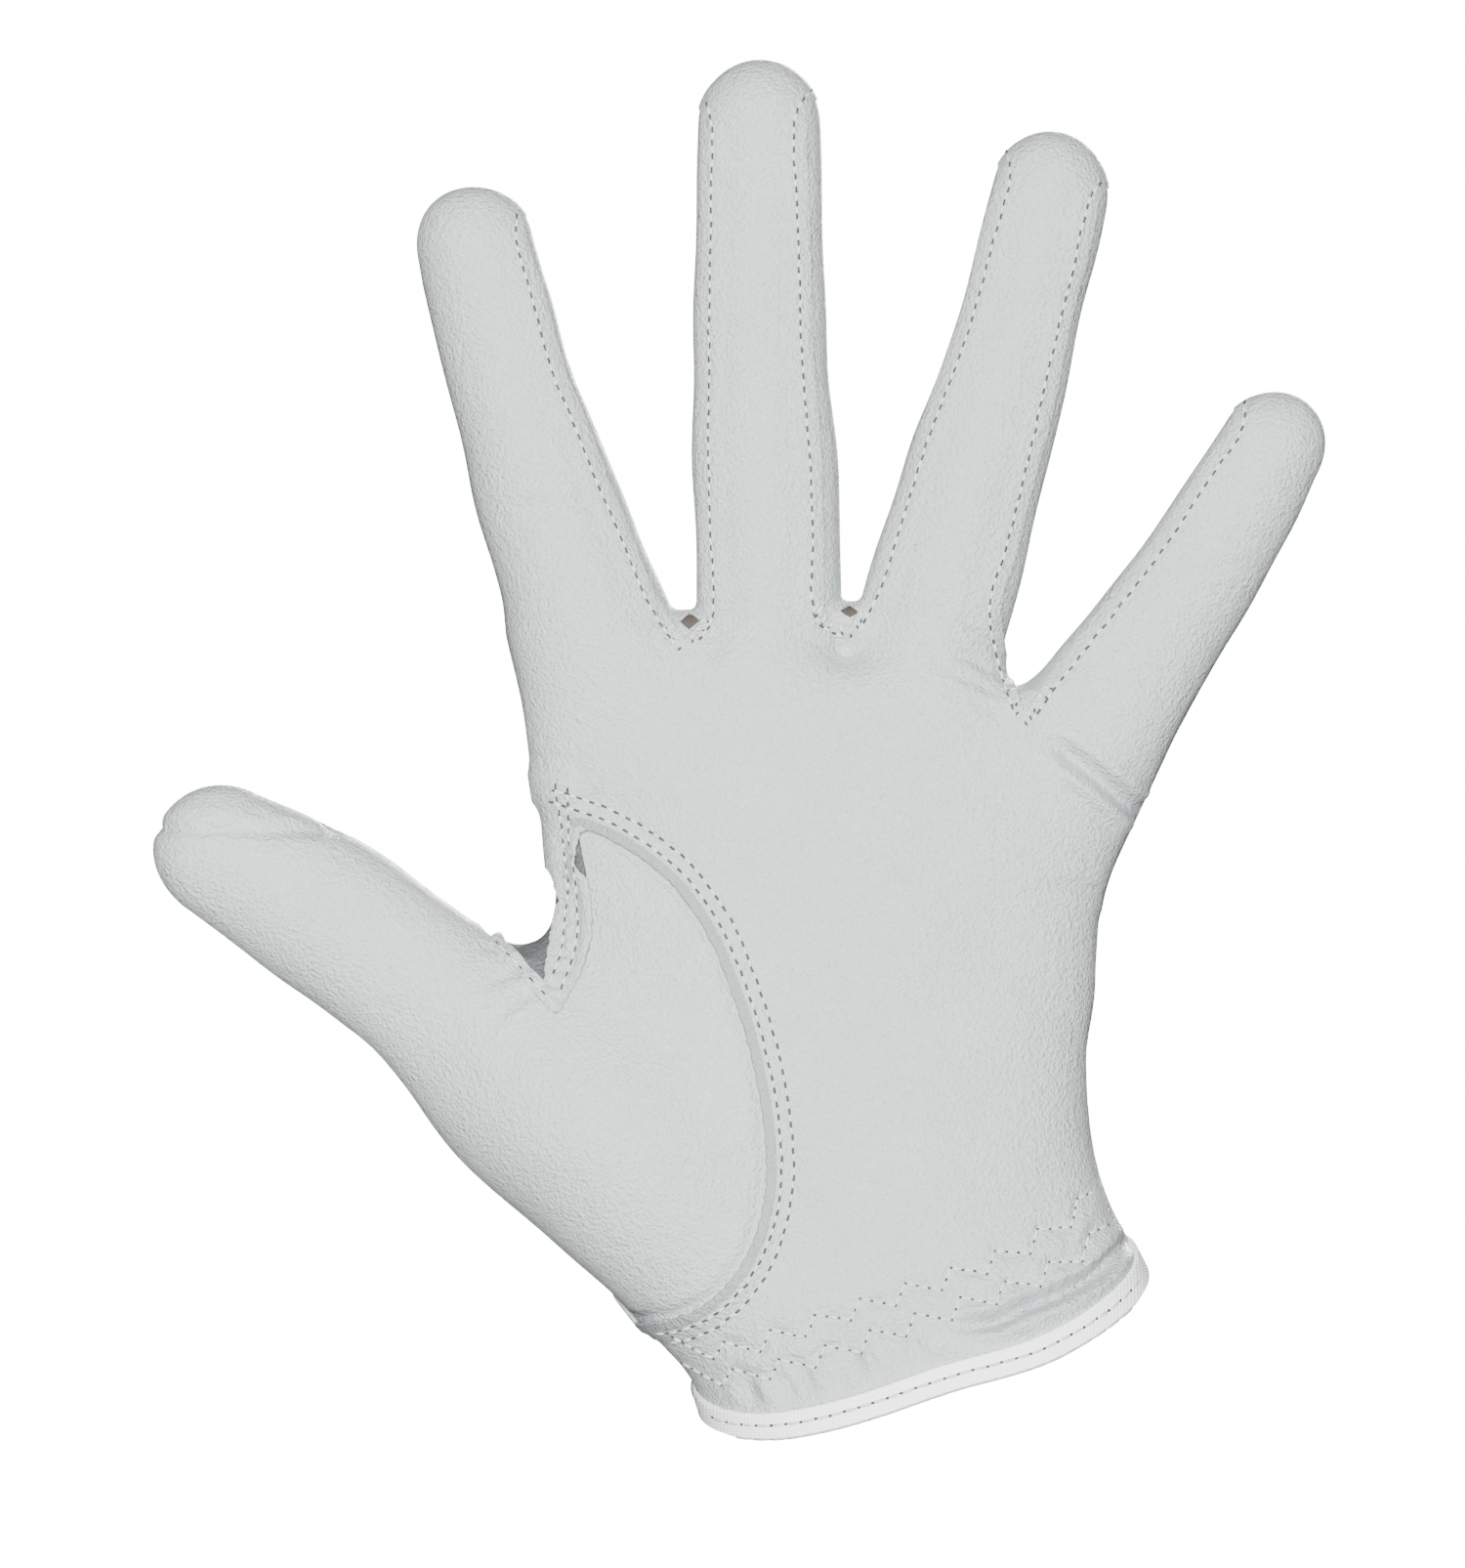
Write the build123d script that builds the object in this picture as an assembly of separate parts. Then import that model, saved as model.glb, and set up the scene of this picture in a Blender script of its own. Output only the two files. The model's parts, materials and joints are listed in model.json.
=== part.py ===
"""A left-hand golf glove of thin leather, held open as if worn, with its fingers spread.

Units are millimetres. +Z runs up the middle finger, the palm side faces -Y and the thumb is on the
-X side. The origin is the centre of the wrist opening, where the hand goes in.
Every leather panel is a closed solid cut from a shell that is one leather thick."""
from build123d import *
from math import cos, radians, sin
import os

# ---- materials' thicknesses ---------------------------------------------------------------------
LEATHER = 0.8            # leather with its seam allowance
BINDING = 0.7            # soft tape folded over a cut edge
BINDING_REACH = 3.6      # how far the tape covers the leather
ELASTIC = 0.8            # elastic sewn inside the wrist
LABEL = 0.3              # woven size label, blank
PILE = 0.7               # hook or loop tape with its backing
PILE_GAP = 0.1           # between hooks and loops when the tab is closed
TAB_LINING = 0.5

# ---- digits -------------------------------------------------------------------------------------
# Base point (x, z) on the digit's axis, tilt of the axis from +Z towards +X, length to the tip, and
# where its creasing sleeve starts. Sections are (distance along the axis, centre offset, half-width)
# and the last one is where the tip's dome starts. Offsets are positive on the little finger's side.
# flare is how much the stub widens towards the palm, on the thumb's side and on the other side.
DIGITS = {
    "index": dict(base=(-53.3, 118.6), tilt=-13.8, length=69.6, start=0.0,
                  sections=((0, -0.6, 12.7), (20, -2.8, 11.2), (40, -4.2, 9.7), (60, -4.3, 9.5)),
                  flare=(0.0, 2.4)),
    "middle": dict(base=(-25.3, 118.6), tilt=-0.7, length=86.6, start=1.0,
                   sections=((0, 0.0, 11.5), (20, -0.3, 11.8), (42, -0.9, 10.6), (77, -0.8, 9.8)),
                   flare=(2.2, 2.2)),
    "ring": dict(base=(3.4, 121.7), tilt=13.7, length=74.1, start=-1.0,
                 sections=((0, -1.0, 11.8), (20, -0.3, 11.2), (40, 0.7, 9.6), (64, 1.0, 9.4)),
                 flare=(2.4, 2.4)),
    "little": dict(base=(28.7, 100.8), tilt=29.0, length=59.0, start=2.0,
                   sections=((0, -1.7, 11.6), (10, -0.5, 10.8), (30, 1.4, 9.4), (47, 1.9, 8.9)),
                   flare=(2.0, 0.0)),
    "thumb": dict(base=(-73.6, 52.7), tilt=-59.6, length=57.6, start=3.0,
                  sections=((0, -0.4, 14.4), (10, 1.8, 13.1), (28, 3.9, 12.6), (47, 3.7, 10.7)),
                  flare=(0.0, 0.0)),
}
FINGERS = ("index", "middle", "ring", "little")
SLEEVE = 22.0            # length of leather that creases when a digit bends
DIGIT_DEPTH = 0.86       # thickness over width
DOME_LATITUDES = (28, 52, 70, 82)   # degrees, for the sections of a tip's dome
FLARE_LENGTH = 7.0       # the stub has its full flare this far below the base point
STUB = 18.0              # how far the stub runs down into the palm

# Fourchettes are the narrow strips between a finger's palm side and back. The index finger has none on
# its outer side and the little finger none on its outer side: there the leather is folded round.
SEAM_SHARE = 0.64        # a side seam lies at this share of the half-width
FOURCHETTE_SIDES = {"index": (1,), "middle": (-1, 1), "ring": (-1, 1), "little": (-1,)}
FOURCHETTE_END = 0.6     # it ends at this share of the tip's dome
FOLD_SEAM_Y = 4.5        # where palm and back leather meet round a folded side
THUMB_SEAM_Y = 3.0

# ---- palm and wrist -----------------------------------------------------------------------------
CUFF_HALF_WIDTH = 36.5
CUFF_HALF_DEPTH = 24.0
CUFF_RISE = 18.0         # degrees, the cuff climbs towards the little finger's side
CUFF_LEAN = 20.0         # degrees, the cuff is lower on the palm side
# Sections above the cuff: centre (x, z), rise, half-width, half-depth and lean
PALM = (
    (-4.1, 11.6, 21.0, 34.9, 20.5, 10.0),
    (-8.0, 24.0, 19.0, 35.8, 19.0, 3.0),
    (-15.5, 50.0, 10.0, 43.0, 17.5, 0.0),
    (-15.8, 70.5, 4.0, 43.2, 16.0, 0.0),
    (-14.5, 88.0, -3.0, 46.5, 14.0, 0.0),
    (-14.0, 109.0, -7.0, 50.5, 9.0, 0.0),
)
# Ball of the thumb, on the thumb's axis: distance along, centre offset, half-width, half-depth
THENAR = ((-10, -2.6, 16.6, 14.8), (-20, -3.6, 17.6, 16.2), (-40, -7.4, 17.6, 17.0), (-50, -11.0, 15.0, 15.0),
          (-64, -15.0, 8.0, 10.0))
THENAR_SHIFT = -3.0      # it stands towards the palm side by this much from its first section down
PAST = 6.0               # an inner form runs past an opening by this much

# Seams, in the XZ plane. The crescent runs from beside the index finger round the ball of the thumb.
CRESCENT = ((-54.6, 84.0), (-46.0, 80.0), (-38.5, 73.0), (-32.0, 61.0), (-27.2, 45.0), (-25.5, 30.0),
            (-29.0, 15.0), (-36.0, 8.0), (-46.0, 5.0))
THUMB_BACK_SEAM = ((-56.0, 84.0), (-54.5, 66.0), (-52.0, 52.0), (-50.0, 36.0), (-49.0, 22.0), (-46.0, 5.0))
CROTCH_GUSSET = ((-58.6, 55.3), (-54.5, 66.0), (-53.5, 78.0), (-54.6, 84.0), (-58.5, 90.0), (-90.0, 92.0),
                 (-90.0, 87.0), (-71.3, 68.2))
WEBS = {"index_middle": (-38.7, 113.4), "middle_ring": (-12.4, 115.6), "ring_little": (15.0, 103.4)}
WEB_RADIUS = 4.4
LINED_WEBS = ("index_middle", "middle_ring")   # these have a lining that shows through a small window
WINDOW = 2.0             # half-diagonal of the window
WINDOW_LIFT = 0.5        # its centre stands this much over the gusset's

# ---- back of the wrist, in the cuff's own directions: u along it and h up it ---------------------
SLIT_U = 3.0
SLIT_TOP = 52.0
SLIT_MOUTH = 3.4         # half-widths at the cuff and at the top
SLIT_TIP = 1.2
TAB_LEFT = -17.0
TAB_RIGHT = 27.0
TAB_LOW = 16.0
TAB_HIGH = 45.0
TAB_CORNER = 8.0
TAB_STRIP = 7.0          # width of the strip that is sewn to the back
TAB_GAP = 0.4            # between that strip and the tab, where the leather bends
HOOK_LEFT = 12.5
HOOK_MARGIN = 3.5        # the hook piece stays this far inside the tab's edge
LOOP_MARGIN = 2.0        # the loop piece is this much larger than the hook piece
ELASTIC_LOW, ELASTIC_HIGH = 5.0, 14.0
ELASTIC_HALF_WIDTH = 27.0
LABEL_U, LABEL_H = -14.0, 24.0
LABEL_WIDTH, LABEL_HEIGHT = 14.0, 9.0
FAR = 250.0
CRUMB = 0.2              # mm3, scraps under this size that a cut leaves are thrown away


# ---- tubes and shells ---------------------------------------------------------------------------
def digit_plane(digit, along, offset=0.0, shift=0.0):
    """A section plane of a digit: its x is across the digit, its z runs to the tip."""
    tilt = radians(digit["tilt"])
    axis = Vector(sin(tilt), 0, cos(tilt))
    across = Vector(cos(tilt), 0, -sin(tilt))
    base = Vector(digit["base"][0], 0, digit["base"][1])
    return Plane(base + axis * along + across * offset + Vector(0, shift, 0), x_dir=across, z_dir=axis)


def digit_section(digit, along):
    """Centre offset and half-width of a digit at a distance along its axis."""
    rows = digit["sections"]
    if along <= rows[0][0]:
        share = min(1.0, (rows[0][0] - along) / FLARE_LENGTH)
        left, right = digit["flare"]
        return rows[0][1] + share * (right - left) / 2, rows[0][2] + share * (right + left) / 2
    for low, high in zip(rows, rows[1:]):
        if along <= high[0]:
            share = (along - low[0]) / (high[0] - low[0])
            return low[1] + share * (high[1] - low[1]), low[2] + share * (high[2] - low[2])
    return rows[-1][1], rows[-1][2]


def tube(sections):
    """A solid through flat sections, with straight walls from one to the next."""
    return loft(sections, ruled=True)


def digit_ellipse(digit, along, inset, moved=0.0):
    """A digit's section at a place on its axis, moved along the axis if asked."""
    offset, half = digit_section(digit, along)
    return digit_plane(digit, along + moved, offset) * Ellipse(half - inset, half * DIGIT_DEPTH - inset)


def digit_tube(digit, low, high, inset=0.0, past=0.0):
    """A closed length of a digit between two places on its axis, run past both by past."""
    inside = [row[0] for row in digit["sections"] if low < row[0] < high]
    faces = [digit_ellipse(digit, along, inset) for along in (low, *inside, high)]
    if past:
        faces = [digit_ellipse(digit, low, inset, -past), *faces, digit_ellipse(digit, high, inset, past)]
    return tube(faces)


def digit_end(digit, low, inset=0.0, past=0.0):
    """A digit from a place on its axis to its domed tip."""
    inside = [row[0] for row in digit["sections"] if row[0] > low]
    faces = [digit_ellipse(digit, along, inset) for along in (low, *inside)]
    if past:
        faces.insert(0, digit_ellipse(digit, low, inset, -past))
    first, offset, half = digit["sections"][-1]
    dome = digit["length"] - inset - first
    for latitude in DOME_LATITUDES:
        share = cos(radians(latitude))
        plane = digit_plane(digit, first + dome * sin(radians(latitude)), offset)
        faces.append(plane * Ellipse((half - inset) * share, (half * DIGIT_DEPTH - inset) * share))
    return tube(faces)


def cuff_plane(lift=0.0):
    return palm_plane(0.0, 0.0, CUFF_RISE, CUFF_LEAN, lift)


def palm_plane(x, z, rise, lean, lift=0.0):
    """A section plane of the palm, whose normal runs up the hand and leans towards the palm side."""
    across = Vector(cos(radians(rise)), 0, sin(radians(rise)))
    up = Vector(-sin(radians(rise)), 0, cos(radians(rise)))
    normal = up * cos(radians(lean)) - Vector(0, 1, 0) * sin(radians(lean))
    return Plane(Vector(x, 0, z) + normal * lift, x_dir=across, z_dir=normal)


def palm_solid(grow=0.0, past=0.0):
    """The palm and wrist, larger by grow all round, run past the cuff by past."""
    half, deep = CUFF_HALF_WIDTH + grow, CUFF_HALF_DEPTH + grow
    faces = [cuff_plane() * Ellipse(half, deep)]
    if past:
        faces.insert(0, cuff_plane(-past) * Ellipse(half, deep))
    for x, z, rise, half, deep, lean in PALM:
        lift = grow if (x, z) == PALM[-1][:2] else 0.0
        faces.append(palm_plane(x, z, rise, lean, lift) * Ellipse(half + grow, deep + grow))
    return tube(faces)


def thenar_solid(grow=0.0, past=0.0):
    """The ball of the thumb, from the start of the thumb's sleeve down into the wrist."""
    thumb = DIGITS["thumb"]
    faces = [digit_ellipse(thumb, thumb["start"], -grow)]
    if past:
        faces.insert(0, digit_ellipse(thumb, thumb["start"], -grow, past))
    for along, offset, half, deep in THENAR:
        shift = THENAR_SHIFT if along < THENAR[0][0] else THENAR_SHIFT / 2
        faces.append(digit_plane(thumb, along, offset, shift) * Ellipse(half + grow, deep + grow))
    return tube(faces)


def hand_solid(grow=0.0, past=0.0):
    solid = palm_solid(grow, past) + thenar_solid(grow, past)
    for name in FINGERS:
        digit = DIGITS[name]
        stations = sorted({-STUB, -FLARE_LENGTH, 0.0, digit["start"]})
        faces = [digit_ellipse(digit, along, -grow) for along in stations if along <= digit["start"]]
        if past:
            faces.append(digit_ellipse(digit, digit["start"], -grow, past))
        solid = solid + tube(faces)
    return solid


def half_space(y, side):
    """Everything in front of (-1) or behind (1) the plane Y = y."""
    return Pos(0, y + side * FAR, 0) * Box(4 * FAR, 2 * FAR, 4 * FAR)


def prism(points):
    """A polygon given as (x, z), made into a bar along Y."""
    face = make_face(Polyline([(x, 0, z) for x, z in points], close=True))
    return extrude(face, amount=FAR, dir=(0, 1, 0), both=True)


def cuff_prism(u, h, shape):
    """A flat shape on the back of the wrist, centred on (u, h), made into a bar along Y."""
    rise = radians(CUFF_RISE)
    plane = Plane(origin=(0, 0, 0), x_dir=(cos(rise), 0, sin(rise)), z_dir=(0, -1, 0))
    return extrude(plane * Pos(u, h) * shape, amount=FAR, dir=(0, 1, 0), both=True)


def slit_prism(grow):
    """The slit up the back of the wrist, wider by grow."""
    low, high = SLIT_MOUTH + grow, SLIT_TIP + grow
    top = SLIT_TOP + grow
    outline = ((-low, -FAR / 4), (low, -FAR / 4), (low, 0), (high, top), (-high, top), (-low, 0))
    return cuff_prism(SLIT_U, 0, make_face(Polyline(*outline, close=True))) & half_space(0, 1)


def layer(low, high):
    """A skin over the palm and wrist between two heights above the leather's outer face."""
    return palm_solid(high, PAST) - palm_solid(low, 2 * PAST)


PARTS = {}


def keep(name, solid, color):
    solids = [piece for piece in solid.solids() if piece.volume > CRUMB]
    if len(solids) > 1:
        print(name, [(round(x.volume, 2), [round(c, 1) for c in x.center()]) for x in solids])
    part = solids[0] if len(solids) == 1 else Compound(children=list(solids))
    part.label = name
    part.color = Color(*color)
    PARTS[name] = part


WHITE = (0.86, 0.88, 0.88)
TAPE = (0.95, 0.95, 0.94)
DARK = (0.40, 0.35, 0.32)
GREY = (0.62, 0.64, 0.65)

# ---- the hand's shell and its panels ------------------------------------------------------------
shell = hand_solid() - hand_solid(-LEATHER, PAST)
front_half = half_space(0, -1)
back_half = half_space(0, 1)

gusset_bar = prism(CROTCH_GUSSET)
keep("thumb_crotch_gusset", shell & gusset_bar, WHITE)
rest = shell - gusset_bar

for name, (x, z) in WEBS.items():
    web = Pos(x, 0, z) * Rot(90, 0, 0) * Cylinder(WEB_RADIUS, FAR)
    gusset = rest & web
    rest = rest - web
    if name in LINED_WEBS:
        middle = z + WINDOW_LIFT
        diamond = prism(((x - WINDOW, middle), (x, middle - WINDOW), (x + WINDOW, middle), (x, middle + WINDOW)))
        keep(f"web_lining_{name}", gusset & diamond & front_half, DARK)
        gusset = gusset - (diamond & front_half)
    keep(f"web_gusset_{name}", gusset, WHITE)

thumb_front = prism((*CRESCENT, (-FAR, 5.0), (-FAR, 84.0))) & front_half
thumb_back = prism((*THUMB_BACK_SEAM, (-FAR, 5.0), (-FAR, 84.0))) & back_half
keep("thumb_base_panel", rest & (thumb_front + thumb_back), WHITE)
rest = rest - thumb_front - thumb_back
keep("palm_panel", rest & half_space(FOLD_SEAM_Y, -1), WHITE)
keep("back_panel", (rest & half_space(FOLD_SEAM_Y, 1)) - slit_prism(BINDING), WHITE)

# ---- digits -------------------------------------------------------------------------------------
def front_outline(digit, sides):
    """The (x, z) outline between a digit's two side seams; a folded side's seam lies off the leather."""
    first, offset, half = digit["sections"][-1]
    end = first + FOURCHETTE_END * (digit["length"] - first)
    low = digit["start"] + SLEEVE
    low_offset, low_half = digit_section(digit, low)
    stations = ((low - PAST, low_offset, low_half), (low, low_offset, low_half), (first, offset, half))

    def side_points(side):
        share = SEAM_SHARE if side in sides else 2
        points = [(along, at + side * share * wide) for along, at, wide in stations]
        points += [(end, offset + side * half * (1.1 if side in sides else 2))]
        return points + [(digit["length"] + PAST, points[-1][1])]

    points = side_points(-1) + side_points(1)[::-1]
    placed = [digit_plane(digit, along, across).origin for along, across in points]
    return [(point.X, point.Z) for point in placed]


for name, digit in DIGITS.items():
    low = digit["start"]
    high = low + SLEEVE
    sleeve = digit_tube(digit, low, high) - digit_tube(digit, low, high, LEATHER, PAST)
    keep(f"{name}_flex_sleeve", sleeve, WHITE)
    finger = digit_end(digit, high) - digit_end(digit, high, LEATHER, PAST)
    if name not in FINGERS:
        keep("thumb_front", finger & half_space(THUMB_SEAM_Y, -1), WHITE)
        keep("thumb_back", finger & half_space(THUMB_SEAM_Y, 1), WHITE)
        continue
    middle = prism(front_outline(digit, FOURCHETTE_SIDES[name]))
    keep(f"{name}_front", finger & middle & half_space(FOLD_SEAM_Y, -1), WHITE)
    keep(f"{name}_back", finger & middle & half_space(FOLD_SEAM_Y, 1), WHITE)
    strips = finger - middle
    for side in FOURCHETTE_SIDES[name]:
        beside = digit_plane(digit, high) * Pos(side * FAR, 0, 0) * Box(2 * FAR, 2 * FAR, 2 * FAR)
        where = "" if len(FOURCHETTE_SIDES[name]) == 1 else "_thumb_side" if side < 0 else "_outer_side"
        keep(f"{name}_fourchette{where}", strips & beside, WHITE)

# ---- cuff ---------------------------------------------------------------------------------------
hem_bar = loft([cuff_plane(lift) * Ellipse(FAR, FAR) for lift in (-BINDING, BINDING_REACH)])
hem = (palm_solid(BINDING, PAST) - palm_solid(-LEATHER - BINDING, 2 * PAST)) & hem_bar
hem = hem - shell - slit_prism(0)
keep("hem_binding", hem, TAPE)

slit_skin = palm_solid(BINDING, PAST) - palm_solid(-LEATHER - BINDING, 2 * PAST)
slit_rim = (slit_skin & slit_prism(BINDING_REACH)) - slit_prism(0)
above_hem = loft([cuff_plane(lift) * Ellipse(FAR, FAR) for lift in (BINDING_REACH, FAR)])
slit_rim = (slit_rim & above_hem) - PARTS["back_panel"]
keep("slit_binding", slit_rim, TAPE)

elastic_bar = cuff_prism(0, (ELASTIC_LOW + ELASTIC_HIGH) / 2,
                         Rectangle(2 * ELASTIC_HALF_WIDTH, ELASTIC_HIGH - ELASTIC_LOW))
elastic = layer(-LEATHER - ELASTIC, -LEATHER) & elastic_bar & front_half
keep("wrist_elastic", elastic, GREY)
label_bar = cuff_prism(LABEL_U, LABEL_H, Rectangle(LABEL_WIDTH, LABEL_HEIGHT))
keep("size_label", layer(-LEATHER - LABEL, -LEATHER) & label_bar & back_half, GREY)

# ---- closure tab: a strip sewn to the back, the tab that swings from it, and hook and loop ------
TAB_UNDER = 2 * PILE + PILE_GAP
TAB_TOP = TAB_UNDER + TAB_LINING + LEATHER
TAB_MIDDLE = (TAB_LOW + TAB_HIGH) / 2
TAB_HEIGHT = TAB_HIGH - TAB_LOW
tab_hinge_u = TAB_LEFT + TAB_STRIP
tab_start = tab_hinge_u + TAB_GAP


def rounded_end(left, right, height, corner):
    """A strip whose right-hand corners are rounded."""
    whole = Pos((left + right) / 2, 0) * Rectangle(right - left, height)
    return fillet(whole.vertices().filter_by(lambda v: v.X > (left + right) / 2), corner)


tab_bar = cuff_prism(0, TAB_MIDDLE, rounded_end(tab_start, TAB_RIGHT, TAB_HEIGHT, TAB_CORNER)) & back_half
hook_bar = cuff_prism(0, TAB_MIDDLE, rounded_end(HOOK_LEFT, TAB_RIGHT - HOOK_MARGIN,
                                                 TAB_HEIGHT - 2 * HOOK_MARGIN, TAB_CORNER - HOOK_MARGIN))
loop_bar = cuff_prism(0, TAB_MIDDLE, rounded_end(HOOK_LEFT - LOOP_MARGIN, TAB_RIGHT - HOOK_MARGIN + LOOP_MARGIN,
                                                 TAB_HEIGHT - 2 * (HOOK_MARGIN - LOOP_MARGIN),
                                                 TAB_CORNER - HOOK_MARGIN + LOOP_MARGIN))
strip_bar = cuff_prism((TAB_LEFT + tab_hinge_u) / 2, TAB_MIDDLE, Rectangle(TAB_STRIP, TAB_HEIGHT))
keep("tab_strip", layer(0, TAB_TOP) & strip_bar & back_half, WHITE)
keep("closure_tab", layer(TAB_UNDER + TAB_LINING, TAB_TOP) & tab_bar, WHITE)
keep("tab_lining", layer(TAB_UNDER, TAB_UNDER + TAB_LINING) & tab_bar, GREY)
keep("hook_patch", layer(PILE + PILE_GAP, TAB_UNDER) & hook_bar & back_half, GREY)
keep("loop_patch", layer(0, PILE) & loop_bar & back_half, GREY)

if __name__ == "__main__":
    os.makedirs("parts", exist_ok=True)
    for name, part in PARTS.items():
        export_step(part, f"parts/{name}.step")
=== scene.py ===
# %% [markdown]
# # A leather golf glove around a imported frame
# The frame is the glove's working model: simple leather tubes with joints at the roots of the digits. It is
# loaded first and never moved. Everything made here is placed from it, so the two always agree.
# Lengths are in millimetres while shapes are worked out, and become metres when a mesh is made.

# %% Load the frame
import json
import math
import bpy
import numpy as np
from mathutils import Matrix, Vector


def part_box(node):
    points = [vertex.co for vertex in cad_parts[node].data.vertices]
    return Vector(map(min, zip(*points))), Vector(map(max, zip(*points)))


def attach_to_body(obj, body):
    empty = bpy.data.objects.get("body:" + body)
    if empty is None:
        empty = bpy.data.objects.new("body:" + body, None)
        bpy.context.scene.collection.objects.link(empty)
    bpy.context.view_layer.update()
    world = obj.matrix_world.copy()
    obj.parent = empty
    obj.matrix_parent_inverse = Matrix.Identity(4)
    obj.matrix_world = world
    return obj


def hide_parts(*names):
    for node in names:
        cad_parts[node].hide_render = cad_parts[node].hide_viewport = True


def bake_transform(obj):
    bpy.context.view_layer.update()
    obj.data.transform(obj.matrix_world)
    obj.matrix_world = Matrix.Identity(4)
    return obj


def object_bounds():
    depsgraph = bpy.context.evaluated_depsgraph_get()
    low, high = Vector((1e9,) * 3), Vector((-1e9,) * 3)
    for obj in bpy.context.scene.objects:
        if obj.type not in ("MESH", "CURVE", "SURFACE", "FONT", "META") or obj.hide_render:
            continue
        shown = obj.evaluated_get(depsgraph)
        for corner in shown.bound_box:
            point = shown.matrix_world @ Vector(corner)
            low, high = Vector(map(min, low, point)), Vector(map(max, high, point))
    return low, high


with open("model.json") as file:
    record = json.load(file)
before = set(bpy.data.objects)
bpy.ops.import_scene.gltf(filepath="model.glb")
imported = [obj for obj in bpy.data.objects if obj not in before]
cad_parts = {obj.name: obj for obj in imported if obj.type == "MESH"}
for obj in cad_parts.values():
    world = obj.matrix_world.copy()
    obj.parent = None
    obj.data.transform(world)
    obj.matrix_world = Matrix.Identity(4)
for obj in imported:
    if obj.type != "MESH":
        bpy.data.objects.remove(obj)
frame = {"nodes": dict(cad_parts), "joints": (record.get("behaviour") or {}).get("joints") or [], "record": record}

import openvdb
from mathutils import Vector
from mathutils.bvhtree import BVHTree

MM = 0.001
cad_box = [list(corner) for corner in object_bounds()]
joints = {joint["name"]: joint for joint in frame["joints"]}
nodes = frame["nodes"]
rng = np.random.default_rng(7)

# %% [markdown]
# ## Camera, floor and light
# The glove is looked at straight from its palm side through a long lens, which keeps the fingers' proportions
# true. A soft light near the camera leaves the edges a little darker, as in a catalogue picture of white
# leather. A weak light from above and one from behind keep the other sides readable.

# %% Camera, floor and light
VIEW_CENTRE = (-31.0, 90.3)      # x and z in the middle of the picture
VIEW_HEIGHT = 248.8
CAMERA_DISTANCE = 1800.0
SENSOR = 36.0


def add_object(name, data):
    thing = bpy.data.objects.new(name, data)
    bpy.context.scene.collection.objects.link(thing)
    return thing


camera = add_object("camera", bpy.data.cameras.new("camera"))
camera.data.sensor_width = SENSOR
camera.data.lens = SENSOR * CAMERA_DISTANCE / VIEW_HEIGHT
camera.location = (VIEW_CENTRE[0] * MM, -CAMERA_DISTANCE * MM, VIEW_CENTRE[1] * MM)
camera.rotation_euler = (math.radians(90), 0, 0)
camera.data.clip_end = 20
bpy.context.scene.camera = camera


def add_area(name, place, target, size, power):
    light = add_object(name, bpy.data.lights.new(name, "AREA"))
    light.data.shape = "DISK"
    light.data.size = size
    light.data.energy = power
    light.location = place
    light.rotation_euler = (Vector(target) - Vector(place)).to_track_quat("-Z", "Y").to_euler()


middle = (-0.03, 0.0, 0.1)
add_area("front_softbox", (-0.1, -1.6, 0.22), middle, 0.5, 112)
add_area("top_softbox", (0.2, -0.5, 1.5), middle, 0.8, 5)
add_area("back_softbox", (0.3, 1.6, 0.5), middle, 0.5, 50)

floor_mesh = bpy.data.meshes.new("floor")
reach = 3.0
floor_z = cad_box[0][2] - 0.06
floor_mesh.from_pydata([(-reach, -reach, floor_z), (reach, -reach, floor_z), (reach, reach, floor_z),
                        (-reach, reach, floor_z)], [], [(0, 1, 2, 3)])
floor = add_object("floor", floor_mesh)
floor.visible_diffuse = False       # it is seen, but throws no light up at the glove
floor.visible_glossy = False
print("camera lens", round(camera.data.lens), "mm")

# %% [markdown]
# ## Reading the digits from the frame
# Each finger of the frame is a leather tube on a hinge. Its hinge gives the finger's line, and rays sent in
# from outside give the tube's width and thickness at a few places. The soft form made below follows those
# readings with smooth curves, so it never has to be told where a finger is.

# %% Smooth curves and rays
def smooth_step(value):
    value = np.clip(value, 0, 1)
    return value * value * (3 - 2 * value)


def bump(distance, width):
    return np.exp(-(distance / width) ** 2)


def curve_value(at, knots, values):
    """A smooth curve through (knots, values), read at many places and held level past its ends."""
    knots, values = np.asarray(knots, float), np.asarray(values, float)
    slopes = np.gradient(values, knots)
    at = np.clip(at, knots[0], knots[-1])
    low = np.clip(np.searchsorted(knots, at) - 1, 0, len(knots) - 2)
    span = knots[low + 1] - knots[low]
    t = (at - knots[low]) / span
    return ((2 * t ** 3 - 3 * t ** 2 + 1) * values[low] + (t ** 3 - 2 * t ** 2 + t) * span * slopes[low]
            + (3 * t ** 2 - 2 * t ** 3) * values[low + 1] + (t ** 3 - t ** 2) * span * slopes[low + 1])


def tree_of(names):
    points, faces = [], []
    for name in names:
        start = len(points)
        points += [vertex.co / MM for vertex in nodes[name].data.vertices]
        faces += [[start + i for i in face.vertices] for face in nodes[name].data.polygons]
    return BVHTree.FromPolygons(points, faces)


RAY = 40.0


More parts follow.
